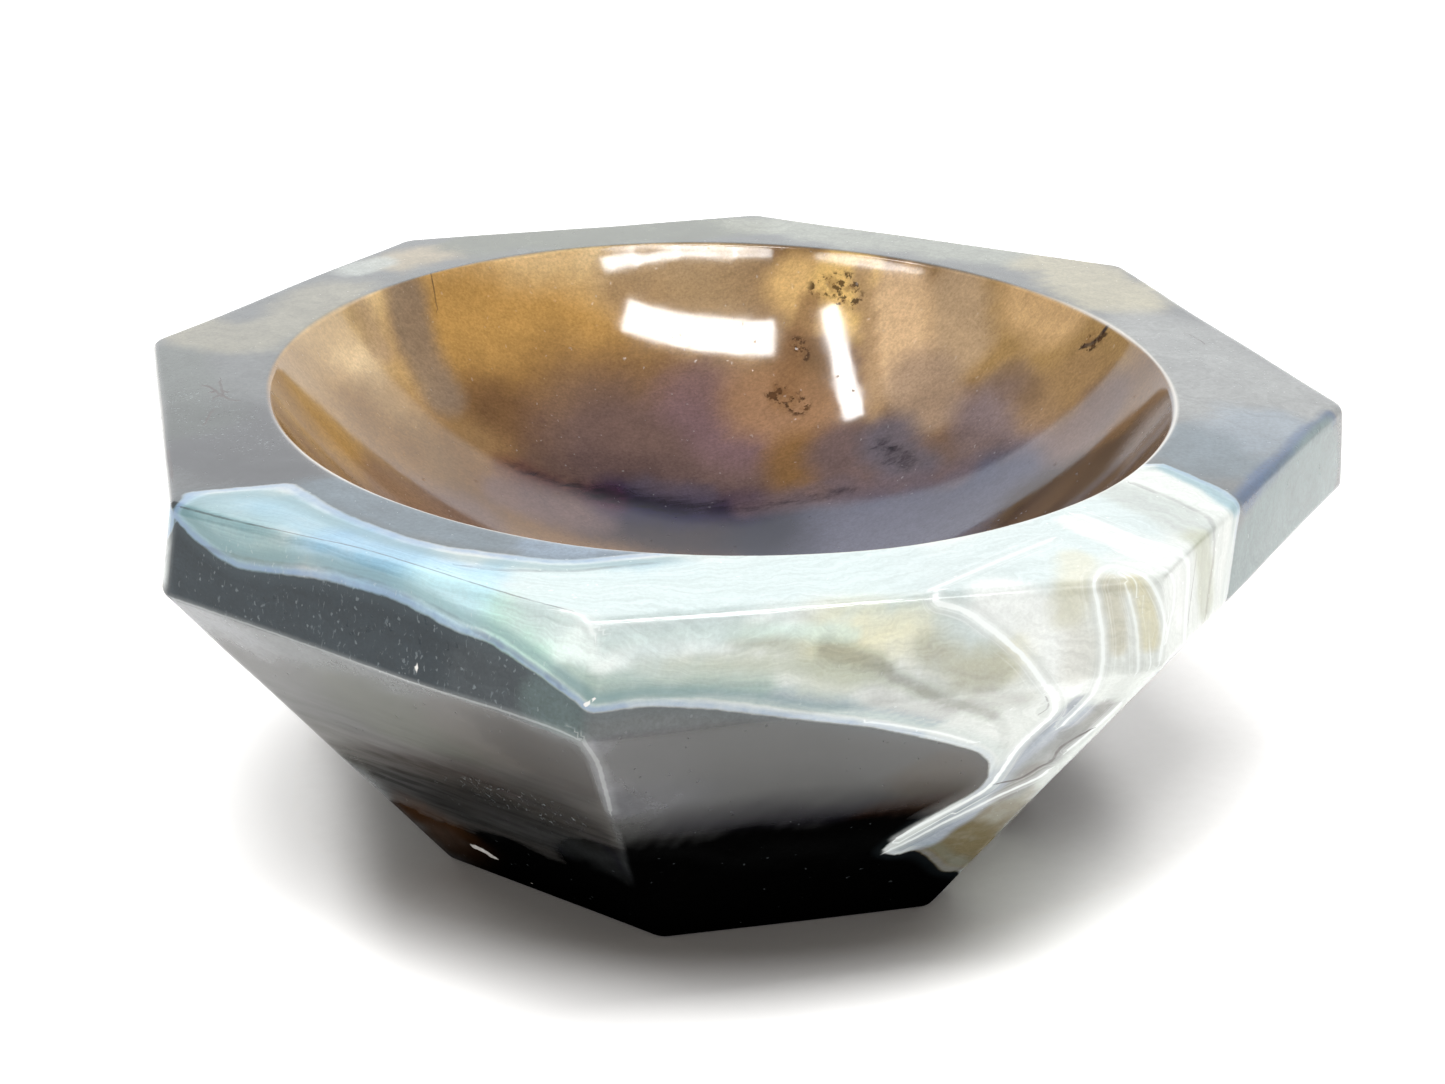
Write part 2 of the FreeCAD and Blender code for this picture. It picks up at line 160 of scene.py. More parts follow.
# washes of colour, laid in this order: red green blue  opacity, half width, fade: middle line
BOWL_BASE = (117, 89, 60)
BOWL_WASHES = read_rows("""
225 197 149  0.97 5 6: -16.57 11.37 20.04, -11.43 16.23 19.66, -5.77 18.57 19.08, -1.31 19.06 18.62
145 111 60  0.9 2.2 3: -18.73 5.23 19.07, -16.85 6.38 17.25, -15.3 6.18 15.66
112 82 44  0.7 2.2 3: -13.71 8.88 15.51, -11.6 7.24 13.33
75 45 3  0.35 1 2: -12.31 8.71 14.4, -9.71 6.93 12.22, -6.34 6.34 10.78
97 79 77  0.7 1 2: -14.99 3.66 14.7, -11.08 4.77 12.31
166 122 51  0.85 3 4.5: -9.02 15.59 17.26, -5.27 16.01 16.01, -1.57 15.69 14.98
109 80 50  0.7 2 4: -8.23 11.86 13.9, -3.0 14.21 13.95, 1.96 14.46 14.01
92 66 44  0.8 0.8 2.4: -8.14 12.84 14.51, -7.07 12.54 13.87
86 70 71  0.85 2.3 4.6: -1.67 11.93 12.29, 1.13 11.28 11.89, 3.93 9.66 11.43
108 85 89  0.75 1.4 2.4: 2.94 14.01 13.8, 4.57 11.93 12.74
145 111 81  0.85 1.2 2.2: 6.0 13.11 13.88, 7.68 11.36 13.36
110 80 42  0.8 1 1.8: 6.99 9.05 11.95, 6.75 7.4 11.24
142 115 84  0.8 1.6 1.8: 0.93 19.19 18.76, 4.16 18.71 18.69, 7.12 17.18 17.95
212 175 116  0.9 1.2 1.4: 9.28 16.93 18.89, 9.86 16.03 18.23
217 181 112  0.9 1.2 1.4: 11.75 15.87 19.5, 11.93 14.59 18.26
124 92 62  0.75 0.35 0.8: 9.57 15.97 17.99, 8.62 14.94 16.42, 7.97 14.22 15.47, 7.18 12.62 13.95
162 132 85  0.85 2.4 3: 17.03 9.61 19.21, 19.51 2.7 19.44
201 167 121  0.85 1.2 1.8: 19.19 7.74, 19.4 5.63 20.22
180 156 128  0.7 0.9 1.6: 16.25 11.53 19.76, 15.71 9.25 17.52
203 172 134  0.97 1.05 1.2: 13.84 13.72 19.13, 13.31 12.16 17.28, 12.86 10.55 15.8
150 128 108  0.85 1.1 1.8: 13.49 9.2 15.51, 13.56 7.83 14.89
160 131 97  0.8 0.35 0.3: 12.36 15.7 19.85, 12.04 13.85 17.65, 11.68 11.6 15.64, 11.01 9.13 13.79
122 109 113  0.85 1.5 2.4: 15.82 4.02 15.51, 15.6 2.09 14.97
149 120 84  0.75 1.2 2: 17.63 2.22 16.97, 18.61 1.63 18.05
91 76 72  0.6 1 1.6: 13.39 4.38 13.63, 14.17 2.31 13.84
89 76 80  0.8 1.4 1.8: 9.34 7.97 12.43, 9.72 6.19 12.0
88 83 92  0.9 0.9 1.5: 11.24 7.57 13.25, 11.54 5.78 12.82, 11.67 4.64 12.6
108 86 65  0.55 0.5 1.2: 16.83 5.37 16.87, 17.25 3.8 16.86
72 56 55  0.75 0.9 2.6: -5.56 9.9 11.9, -2.97 9.83 11.35, -0.89 9.68 11.1
69 75 96  0.9 2.4 2.6: 5.32 3.64 9.92, 9.71 1.3 11.13, 13.69 -1.5 13.4
10 13 34  0.9 1 3.6: -1.59 6.9 10.11, 0.74 5.85 9.77, 3.61 4.91 9.82
40 29 42  0.6 0.6 2.4: -6.01 7.88 11.18, -4.13 7.12 10.49
98 80 80  0.7 0.5 1.5: -8.88 7.86 12.18, -7.1 7.52 11.39, -4.59 7.36 10.66
3 3 57  0.55 0.3 1.9: -3.15 8.62 10.87, -0.76 8.09 10.46, 1.2 7.53 10.28, 3.47 7.13 10.39
68 28 40  0.5 0.2 1.2: -8.41 9.72 12.78, -5.22 9.12 11.47, -3.15 8.62 10.87
99 81 80  0.5 0.2 1.2: 3.47 7.13 10.39, 6.24 6.61 10.83, 9.96 5.0 11.79, 13.28 2.65 13.24
70 64 77  0.6 0.5 1: -0.96 9.42 10.99, 1.44 8.42 10.61
106 88 84  0.85 1.2 1.8: 17.44 -1.81 16.71, 18.37 -1.84 17.77
46 33 32  0.93 2.2 2: 4.79 -20.01, 14.2 -4.93 14.37, 16.25 -7.59 17.17, 17.29 -9.09 19.21
116 110 112  0.85 1.2 1.8: 17.68 -8.12 19.1, 18.16 -8.64 20.07
123 108 95  0.8 0.7 1.3: -12.23 15.94 20.02, -12.11 14.76 18.58, -11.67 13.67 17.21,
    -11.13 12.57 15.94
139 117 107  0.5 0.4 0.9: -14.93 14.06 20.59, -14.12 12.71 18.47
169 140 96  0.65 0.8 2: -18.9 6.6 19.93, -17.18 10.29 19.93, -15.4 12.92 20.06
213 179 128  0.5 0.3 0.9: -12.14 18.12, -7.61 20.03, -3.22 20.28 20.61
""")
OUTER_BASE = (85, 89, 90)
OUTER_WASHES = read_rows("""
54 56 60  0.9 2.2 3: -24.24 -2.15, -21.52 -6.48
67 76 69  0.5 1.2 2: -24.53 6.98, -24.58 -0.86
120 118 104  0.9 1.1 1.8: -22.76 10.67, -21.02 9.07, -18.44 11.53, -15.56 15.41
147 135 109  0.85 0.8 1.3: -12.13 19.92, -9.55 21.2
145 151 146  0.9 0.55 0.9: -14.35 18.95, -12.89 20.09
84 89 76  0.9 1.5 2: -7.17 22.41, -2.68 22.79, 1.88 23.01, 5.9 22.97
124 128 114  0.8 0.8 1.4: 7.65 23.0, 8.9 22.31
127 132 122  0.9 1.6 2: 11.68 20.91, 15.93 18.01, 19.92 14.81
145 140 116  0.9 1.5 2: 22.18 11.69, 22.67 5.6
121 124 123  0.9 3 3: 21.22 -0.77, 22.06 -9.12, 24.29 -9.64
105 117 127  0.8 1.5 2: 19.14 -13.47, 20.86 -12.41
77 91 99  0.85 1.2 1.8: 16.94 -12.95, 17.18 -15.12
27 60 97  0.85 0.34 0.45: 24.78 -11.63 20.37, 21.72 -14.38 20.48, 18.92 -16.85 20.53,
    16.43 -19.15 20.47
84 99 109  0.85 0.8 1.2: -19.14 -10.28 20.64, -16.75 -12.89, -14.16 -15.96
106 125 143  0.8 0.7 1: -11.56 -17.34, -9.11 -18.45 20.61
61 27 43  0.5 0.5 1: 16.11 -8.84 17.68, 15.32 -13.76
88 107 107  0.97 2 0.8: 23.92 -12.75 18.51, 20.18 -16.22 17.96, 16.64 -19.59 17.44
36 46 52  0.97 1.9 0.8: -25.77 -9.86 17.54, -25.51 -9.92 18.84, -23.4 -12.62 17.89,
    -21.0 -15.16 17.87, -17.71 -18.6 17.89, -15.51 -20.96 17.73
56 63 67  0.9 1.2 0.8: -15.23 -21.36 17.41, -13.72 -23.01 17.25
80 95 95  0.85 0.8 0.8: -13.12 -23.63 17.3, -12.25 -24.61 17.01
116 119 122  0.9 1.6 2.2: -24.38 -10.28 15.24, -23.4 -10.65 14.54
52 49 44  0.95 3.2 2.5: -20.81 -9.66 10.91, -16.51 -14.01 10.53, -13.26 -18.35 11.23,
    -10.67 -20.87 10.88
50 51 48  0.85 1.8 2.2: -21.58 -9.76 11.81, -19.79 -11.92 11.97
55 58 44  0.85 1.6 2.2: -18.13 -14.85 13.02, -16.63 -16.62 13.14
58 53 46  0.85 1.6 2.2: -14.94 -19.31 13.98, -13.71 -20.86 14.14
23 15 3  0.85 1.4 2: -13.07 -21.39 13.96, -12.07 -22.39 13.87
68 66 59  0.6 1.2 2: -18.99 -8.93 8.27, -18.19 -9.05 7.54
20 16 12  0.8 1.2 2.2: -16.83 -9.74 6.75, -14.54 -14.06 8.5, -11.8 -18.87 10.2
40 34 28  0.55 0.4 1: -18.07 -9.94 8.26, -16.02 -13.22 9.28
3 3 3  0.9 1.8 2: -15.57 -9.57 5.28, -12.18 -14.59 6.46, -9.61 -17.16 6.19
2 2 2  0.99 2.4 3: -11.47 -10.73 2.0, -9.93 -11.86 1.44, -7.3 -13.95 0.65
50 31 16  0.85 1 1.8: -15.16 -8.32 3.67, -14.18 -7.51 1.85, -12.47 -8.92 1.35
39 39 38  0.95 3.4 2: -8.1 -21.63 11.26, -3.6 -21.37 10.67, 1.37 -21.38 10.41
94 95 102  0.85 1.5 2: -10.52 -24.26 15.36, -9.36 -22.67 12.91
39 39 38  0.9 3 2.2: -7.77 -24.44 15.5, 0.41 -23.49 13.69
42 43 47  0.7 0.9 1.4: -8.98 -21.95 11.79, -7.42 -21.98 11.76
38 25 3  0.8 1.1 1.6: 2.8 -21.94 11.21, 3.93 -21.36 10.26
16 15 22  0.85 0.7 1.4: -7.04 -20.7 9.8, -4.18 -20.69 9.68, 0.1 -20.44 9.04
34 20 12  0.75 0.6 1: 1.03 -20.25 8.69, 3.23 -20.61 9.14
2 2 2  0.99 3.9 1.6: -7.38 -17.53 5.01, -3.52 -17.54 4.84, 0.84 -17.65 4.71, 3.52 -17.19 3.85
2 2 2  0.99 2 1.2: -8.28 -17.76 5.49, -6.7 -15.05 1.27
34 20 12  0.5 0.5 1.2: -18.17 -11.08 9.47, -16.09 -13.78 9.88, -14.44 -16.08 10.34
16 15 22  0.5 0.12 0.25: -13.5 -16.31 9.56, -11.64 -18.06 9.24, -9.7 -18.45 7.56, -8.1 -17.06 4.54
16 15 22  0.45 0.12 0.25: -14.02 -13.35 7.25, -11.66 -15.13 6.42, -9.37 -15.23 4.08,
    -8.03 -15.07 2.52
16 15 22  0.4 0.1 0.25: -11.89 -19.29 10.68, -10.33 -19.42 9.17, -8.87 -18.73 7.04
""")
LAYER_BASE = (195, 200, 196)
LAYER_WASHES = read_rows("""
140 171 184  0.95 0.9 1.6: -24.39 -10.6 20.6, -22.7 -11.07
127 162 177  0.9 0.9 1.4: -21.24 -11.82, -19.72 -13.57
119 157 183  0.9 0.9 1.2: -18.97 -15.18, -17.53 -16.92 20.62
135 171 195  0.9 0.9 1.2: -16.14 -18.7 20.62, -15.06 -19.85 20.62
128 166 184  0.75 0.5 0.9: -14.0 -19.14, -11.17 -19.91, -7.55 -20.61
124 153 156  0.85 0.7 1.5: -24.13 -11.4 19.64, -22.15 -13.45 19.62
135 173 193  0.75 0.6 1.8: -19.64 -15.88 20.22, -18.01 -17.56 20.23
184 218 223  0.8 0.6 1.7: -16.27 -19.36 20.21, -15.19 -20.51 20.14
166 213 195  0.8 0.7 1.6: -13.99 -21.87 19.85, -13.03 -22.99 19.48
229 237 235  0.7 0.75 1.4: -12.14 -23.87 19.65, -11.28 -24.23 19.56, -7.84 -24.47 19.51,
    -5.47 -24.64 19.34
126 142 149  0.75 0.1 0.35: -11.08 -24.6 18.06, -9.72 -24.67 18.08, -7.91 -24.81 18.0,
    -5.72 -25.02 17.59, -3.14 -25.28 17.07, -0.74 -25.16 16.28, 1.58 -24.42 15.07
131 153 145  0.8 0.22 0.6: -12.57 -23.82 18.49, -11.5 -24.53 18.24, -10.06 -24.6 18.33,
    -7.9 -24.74 18.29, -5.71 -24.94 17.95
153 157 140  0.8 0.15 0.8: -6.38 -24.52 19.67, -4.56 -24.74 19.2, -2.72 -24.98 18.69,
    -1.24 -25.19 18.09
209 206 172  0.75 0.3 2.2: -2.33 -24.84 19.51, -0.46 -24.93 19.65, 1.43 -25.06 19.57,
    3.16 -25.33 18.68
179 186 175  0.6 0.1 0.6: -9.32 -24.54 18.77, -5.69 -24.83 18.46, -2.0 -25.22 17.71
148 149 134  0.8 0.4 1.2: 0.85 -25.23 18.5, 2.96 -25.49 17.72
165 169 150  0.55 0.08 0.4: -10.03 -24.45 18.97, -7.87 -24.6 18.93, -4.95 -24.85 18.54,
    -2.0 -25.19 17.86, 0.65 -25.5 16.94
195 218 209  0.6 0.08 0.4: -11.05 -24.16 19.9, -8.18 -24.35 19.96, -4.54 -24.62 19.74,
    -2.33 -24.86 19.43
166 168 166  0.8 0.3 0.8: -1.26 -25.41 16.89, 1.62 -24.77 15.59
164 166 160  0.8 0.3 0.9: 2.98 -25.24 16.25, 4.67 -25.08 15.95
181 195 195  0.95 1.6 1.6: -12.17 -21.08, -9.22 -22.66, -5.24 -21.88, -1.32 -21.76, 0.55 -22.57
181 193 193  0.97 1.8 1.6: 2.48 -23.22, 4.86 -22.32, 7.51 -20.96, 9.86 -19.54
217 221 219  0.9 0.4 0.9: 2.98 -24.97 20.4, 4.69 -25.27 19.54, 5.6 -25.56 18.17, 6.28 -25.34 16.3
187 186 166  0.75 0.25 0.8: 7.22 -23.27, 6.21 -25.19 20.39, 6.05 -25.35 19.58
186 186 178  0.6 0.3 0.8: 6.46 -25.56 18.48, 6.34 -25.76 17.09
176 174 158  0.9 0.25 0.35: 7.6 -25.09 20.59, 7.67 -25.37 20.22, 7.85 -25.55 19.14,
    7.96 -25.71 18.16
190 186 158  0.9 0.25 0.4: 8.55 -25.31 20.51, 8.88 -25.48 20.14, 9.11 -25.62 19.23,
    9.22 -25.77 18.25
205 209 206  0.95 0.45 0.4: 8.56 -19.94, 9.25 -21.48, 10.16 -23.32, 10.71 -24.46 20.29,
    11.07 -24.48 18.59
166 173 169  0.9 0.6 0.9: 11.66 -17.56, 12.5 -19.44, 12.95 -21.57
164 168 150  0.9 0.6 0.6: 12.84 -22.51 20.32, 13.17 -22.66 18.0
127 159 170  0.85 0.3 0.4: 14.73 -15.68, 15.43 -18.04, 15.57 -19.82 20.57
98 88 62  0.97 1.7 0.6: 5.03 -17.37 4.03, 5.65 -18.16 5.21, 6.3 -19.33 6.99
118 114 98  0.8 0.5 0.6: 6.5 -19.81 7.72, 7.03 -20.62 8.97
96 92 88  0.75 0.3 0.5: 7.4 -23.02 12.65, 7.93 -23.76 13.79, 8.3 -24.47 14.85
146 155 166  0.9 0.45 0.5: 7.16 -24.35 14.72, 6.59 -23.54 13.49, 5.95 -22.25 11.53,
    5.16 -20.24 8.46, 3.73 -18.66 6.1
118 120 118  0.85 0.4 0.6: 7.56 -23.31 13.1, 6.95 -22.15 11.33, 6.41 -20.78 9.25
122 129 138  0.8 0.14 0.3: 7.0 -24.95 15.66, 6.48 -24.15 14.45, 5.94 -22.88 12.51,
    5.13 -20.72 9.21, 3.76 -19.07 6.73, 2.77 -18.34 5.66
100 94 86  0.6 0.2 0.4: 6.89 -21.88 10.91, 6.11 -20.53 8.86
116 120 106  0.55 0.16 0.5: -3.2 -24.9 18.91, -2.13 -25.04 18.57, -1.27 -25.16 18.24,
    -0.72 -25.29 17.75, 0.15 -25.43 17.26, 1.19 -25.4 16.56, 2.53 -24.94 15.82, 3.69 -24.5 15.09
""")
FOOT_BLACK = (2, 2, 2)

# the pale layer; field value: points, with 0 on its lower face and 10 on its upper face
LAYER_LOW, LAYER_HIGH = 0.0, 10.0
LAYER_EDGES = read_rows("""
0: -25.18 -10.15 20.07, -24.88 -10.58 19.75, -24.37 -11.22 19.38, -23.76 -11.94 19.06,
    -23.08 -12.7 18.85, -22.13 -13.65 18.99, -20.89 -14.88 19.26, -19.84 -15.92 19.4,
    -18.75 -17.04 19.42, -17.66 -18.18 19.4, -16.63 -19.33 19.15, -15.93 -20.15 18.92,
    -15.15 -20.96 18.9, -14.58 -21.61 18.77, -14.03 -22.29 18.51, -13.46 -22.96 18.27,
    -12.91 -23.64 17.97, -12.36 -24.31 17.71, -12.08 -24.59 17.46, -11.76 -24.71 17.39,
    -11.08 -24.75 17.39, -10.05 -24.8 17.44, -9.03 -24.88 17.35, -7.98 -24.98 17.22,
    -6.93 -25.08 17.02, -5.75 -25.17 16.76, -4.63 -25.14 16.45, -3.48 -24.92 16.05,
    -2.26 -24.7 15.65, -1.01 -24.44 15.18, 0.29 -24.06 14.56, 1.64 -23.63 13.86,
    3.05 -23.2 13.13, 4.04 -22.82 12.49, 4.6 -22.38 11.79, 5.02 -21.6 10.56, 4.8 -20.95 9.58,
    4.01 -20.35 8.69, 3.22 -19.72 7.77, 2.47 -18.99 6.69, 1.97 -18.32 5.68
0: 2.85 -17.95 5.07, 3.38 -18.16 5.36, 3.94 -17.95 5.0, 4.62 -17.46 4.2, 5.25 -16.93 3.32,
    5.79 -16.77 3.03, 6.08 -16.84 3.13
10: -25.2 -10.05 20.21, -24.77 -9.22, -24.01 -8.7, -22.98 -8.72, -21.92 -8.78, -20.78 -8.73,
    -20.24 -9.6 20.64, -19.61 -11.0, -18.87 -12.56, -17.85 -14.01, -16.78 -15.42, -15.68 -16.44,
    -15.08 -16.84, -13.78 -17.6, -12.48 -18.36, -11.41 -18.79, -10.4 -18.85, -9.3 -18.85
10: 14.75 -15.19, 15.18 -16.23, 15.61 -17.43, 15.92 -18.47, 15.91 -19.44 20.59,
    15.94 -19.72 20.23, 15.71 -20.05 19.62, 15.48 -20.38 18.95, 15.31 -20.66 18.26,
    15.06 -21.05 17.36, 14.91 -21.23 17.13
""")
LAYER_GUIDES = read_rows("""
1.2: 5.51 -21.65 10.61, 4.86 -19.98 8.06, 3.86 -18.85 6.39, 2.95 -18.42 5.79
2: 5.52 -18.22 5.32, 5.76 -19.08 6.63
-3: -24.42 -11.44 18.33, -21.02 -15.22 17.57, -17.1 -19.37 17.45, -14.06 -22.84 16.59,
    -10.84 -24.81 16.2, -5.75 -24.09 14.91, -0.14 -22.92 12.84, 3.24 -21.9 11.12,
    0.71 -20.97 9.81, 0.6 -18.21 5.58, 3.59 -16.55 2.84
-9: -23.48 -10.96 14.93, -17.25 -13.72 11.03, -12.05 -20.1 11.61, -6.65 -20.75 9.86,
    -1.56 -18.14 5.63, -12.74 -10.56 3.22, -5.33 -16.41 3.18
13: -23.83 -5.15, -20.26 -5.99, -14.63 3.06 14.3, -8.67 4.74 11.17, 18.38 -13.29,
    21.35 -13.98, 18.69 -17.34 19.49, 16.94 -19.14 18.41
17: -23.21 3.94, -16.2 14.23, -0.37 23.09, 19.92 14.81, 23.36 -6.73, 21.61 -14.76 19.06
5: -9.26 -22.82, -4.02 -24.07 20.62, 2.02 -23.38, -15.87 -19.26 20.6, 6.56 -23.1
4.2: -7.85 -24.52 19.29, -2.34 -24.9 19.21, 5.66 -25.37 19.31
6.2: 10.42 -20.17, 11.82 -23.46 20.22
10: 16.5 -16.8 12, 13.2 -12.4 5, 11.4 -9.6 0.5
0: 7.2 -13.9 0.5
5: 11.0 -17.4 8, 9.4 -12.9 1.5
15: 24 -6 14
16: 20 0 8
18: 0 20 8, -16 12 6
16: -20 -2 8
-3: -25.6 -8.6 17.8
14: -25.2 -5.5 20.2
13: -25.3 -7.5 19.6
18: 14 5 0
16: -10 12 1
4: 8 -12 0
17: 0 8 10
16: -8 -6 11
15: 9 -9 11.5
11.5: 0 -14.5 15.5
12.5: -9 -12.5 15.5
10.6: 10 -13.8 17.2
""")

# thin lines; half width, strength: points. The tenth, eleventh and twelfth rows are painted
# highlights: along the crease of the front left side, down its front corner and along the front
# edge of the rim
WHITE_LINES = read_rows("""
0.15 0.95: 1.0 -24.61 20.59, 0.92 -24.86 20.35, 1.47 -24.96 20.16, 2.07 -25.04 19.9,
    2.58 -25.14 19.52, 3.31 -25.29 18.93, 3.89 -25.42 18.39, 4.43 -25.56 17.83,
    4.87 -25.69 17.21, 5.59 -25.32 16.29, 6.09 -24.79 15.45, 6.25 -24.3 14.69,
    5.96 -23.82 13.95, 5.7 -23.31 13.18, 5.53 -22.79 12.38, 5.46 -21.98 11.13,
    5.32 -21.18 9.91, 4.88 -20.7 9.19, 4.05 -20.1 8.3, 3.19 -19.52 7.47, 2.42 -18.9 6.54
0.1 0.8: 6.93 -23.81 13.9, 7.34 -24.67 15.22, 7.45 -25.16 15.97, 7.33 -25.75 16.93,
    7.38 -25.75 17.63, 7.36 -25.63 18.41, 7.24 -25.51 19.15, 7.11 -25.38 19.88,
    6.99 -25.22 20.44, 7.24 -24.82, 7.79 -24.23, 8.35 -24.1, 8.82 -24.72, 9.13 -25.37 20.51,
    9.45 -25.51 19.99, 9.75 -25.51 19.31, 9.88 -25.54 18.69, 9.79 -25.7 18.15, 9.66 -25.88 17.43
0.07 0.6: 8.26 -24.89, 8.29 -25.43 20.16, 8.51 -25.56 19.4, 8.69 -25.68 18.65,
    8.76 -25.8 17.9, 8.8 -25.88 17.15
0.14 0.9: 9.01 -19.34, 9.3 -19.81, 9.66 -20.6, 10.23 -21.81, 10.7 -22.5, 11.17 -23.14,
    11.3 -23.73 20.57, 11.66 -23.62 20.14, 11.68 -23.75 19.4, 11.58 -23.98 18.72,
    11.53 -24.18 18.01, 11.46 -24.35 17.43
0.09 0.55: 9.09 -22.97, 9.63 -23.85, 9.99 -24.74 20.62, 10.57 -24.67 19.95, 10.59 -24.8 19.21,
    10.3 -25.18 18.63, 10.04 -25.54 18.04
0.1 0.6: 0.84 -24.41, 2.57 -23.51, 4.86 -22.32, 6.94 -21.31
0.09 0.6: -1.33 -24.71 15.61, 0.22 -24.35 15.0, 1.83 -23.92 14.29, 3.41 -23.38 13.4
0.13 0.85: 7.58 -21.67 10.56, 7.25 -21.32 10.04, 6.03 -20.68 9.1, 5.17 -20.14 8.3,
    4.13 -19.49 7.36, 3.21 -18.81 6.37, 2.35 -18.28 5.6
0.09 0.75: 7.89 -22.62 12.01, 8.38 -23.38 13.16, 8.73 -24.04 14.18, 8.93 -24.54 14.94
0.07 0.3: -25.56 -10.57 16.84, -22.79 -13.5 16.74, -20.08 -16.4 16.63, -17.15 -19.48 16.48,
    -14.67 -22.19 16.53, -12.87 -24.11 16.46, -12.14 -24.73 16.29
0.12 0.22: -12.14 -24.73 16.29, -11.47 -23.87 14.86, -10.95 -22.76 13.2, -10.36 -21.4 11.15
0.06 0.3: -11.57 -23.93 20.44, -9.94 -24.06 20.43, -7.04 -24.19 20.46, -4.1 -24.33 20.51,
    -1.12 -24.51 20.57, 1.01 -24.57 20.6
0.1 0.7: -12.55 -22.81 20.6, -12.06 -23.21 20.62, -11.76 -23.79 20.51, -11.66 -24.01 20.21
""")
DARK_LINES = read_rows("""
0.3 0.16: -3.2 -24.9 18.91, -2.13 -25.04 18.57, -1.27 -25.16 18.24, -0.72 -25.29 17.75,
    0.15 -25.43 17.26, 1.19 -25.4 16.56, 2.53 -24.94 15.82, 3.69 -24.5 15.09,
    4.5 -23.83 14.01, 4.91 -23.07 12.84
0.09 0.85: 5.7 -21.29 10.06, 6.53 -21.44 10.26, 7.11 -21.95 11.01, 7.47 -22.15 11.3,
    7.47 -22.75 12.22, 7.87 -23.16 12.84, 8.32 -23.47 13.31
0.05 0.5: 5.55 -24.33 14.75, 5.87 -24.63 15.21, 5.57 -25.07 15.91
0.05 0.55: -24.9 -10.21 20.53, -22.81 -12.32 20.58, -20.73 -14.19, -18.69 -15.9,
    -16.77 -18.01 20.62, -14.92 -20.14 20.62, -13.42 -21.79 20.62, -12.04 -23.14
0.13 0.3: -15.33 -18.27, -14.05 -19.01, -12.71 -19.43, -11.32 -19.76, -9.89 -19.77, -8.44 -19.76
0.13 0.25: -24.17 -11.47 19.25, -22.24 -13.44 19.33, -19.84 -15.8 19.8, -17.57 -18.17 19.73,
    -16.02 -19.9 19.38, -14.22 -21.98 18.81, -12.77 -23.73 18.14
0.15 0.3: 12.6 -16.89, 13.21 -18.25, 13.65 -19.56, 13.95 -20.61, 13.77 -21.59 20.49,
    13.76 -21.84 19.55, 13.48 -22.29 18.53, 13.2 -22.73 17.51
0.09 1: -23.04 3.24, -22.55 2.21, -22.19 1.22, -21.88 0.89
0.07 0.9: -22.78 1.48, -22.38 2.17, -22.39 3.76
0.06 0.8: -22.97 0.01, -23.38 -1.62
0.09 0.9: -25.06 -4.09 20.55, -25.06 -5.68 20.56, -25.08 -7.42 20.56
0.05 0.7: -10.66 17.61, -10.58 16.98 19.9, -10.55 16.38 19.12
0.05 0.7: 23.59 -0.08, 23.69 -0.72, 23.73 -1.49
0.16 1: 19.43 2.74 19.33, 19.82 2.16 19.8, 20.26 2.08 20.47
0.08 0.9: -13.67 -16.14 9.58, -13.26 -16.53 9.51, -12.95 -17.03 9.66
0.05 0.5: 12.3 -23.07 20.0, 12.01 -23.54 18.97, 11.72 -24.01 17.95
""")
# half width: points
CHIPS = read_rows("""
0.26: -13.55 -8.85 2.46, -13.21 -9.17 2.4, -12.83 -9.28 2.1
0.08: -11.22 -9.66 0.72, -11.07 -9.78 0.67
0.07: -12.09 -24.55 17.6, -11.88 -24.59 17.76, -11.7 -24.6 17.86
0.06: -17.45 -18.99 17.51, -17.43 -19.19 16.91, -17.28 -19.33 16.46
0.05: -17.23 -19.25 17.41, -17.16 -19.52 16.54
""")
# soft masks; strength, half width, fade: middle line
SPECKS = read_rows("""
1 0.35 0.2: 19.66 2.47 19.61, 19.93 2.21 19.99
1 0.34 0.55: 10.32 16.29 18.85, 11.31 15.88 19.14, 11.56 15.21 18.6
1 0.3 0.45: 6.88 13.13 14.19, 7.47 12.49 13.98, 7.86 11.96 13.8
1 0.14 0.3: 8.55 14.89 16.33, 8.7 14.06 15.7
1 0.12 0.2: 11.15 15.3 18.37, 11.46 14.85 18.16
""")
PITS = read_rows("""
1 1.4 1.2: -23.37 -12.55 18.29, -20.29 -15.76 18.37, -17.06 -19.25 18.01, -14.6 -21.96 17.63
1 1 1.5: -23.81 1.46, -21.7 -3.92
1 0.8 1: -14.24 -14.75 8.86, -11.64 -18.06 9.24
1 0.8 1.2: 23.16 -1.66, 23.36 -6.73
""")
INK = read_rows("""
0.95 0.1 1.5: -4.9 9.37 11.5, -1.68 8.64 10.71, 0.46 7.95 10.4
0.85 0.06 1: 0.46 7.95 10.4, 2.33 7.41 10.33
0.62 0.05 0.8: 2.33 7.41 10.33, 4.19 6.86 10.43
0.75 0.08 0.6: -8.14 9.82 12.72, -6.16 9.52 11.89, -3.69 8.99 11.1
0.7 0.08 0.6: 3.23 7.21 10.38, 6.22 6.54 10.81, 8.64 5.81 11.42
0.7 0.2 1.2: 11.02 7.4 13.06, 11.49 5.66 12.76
""")
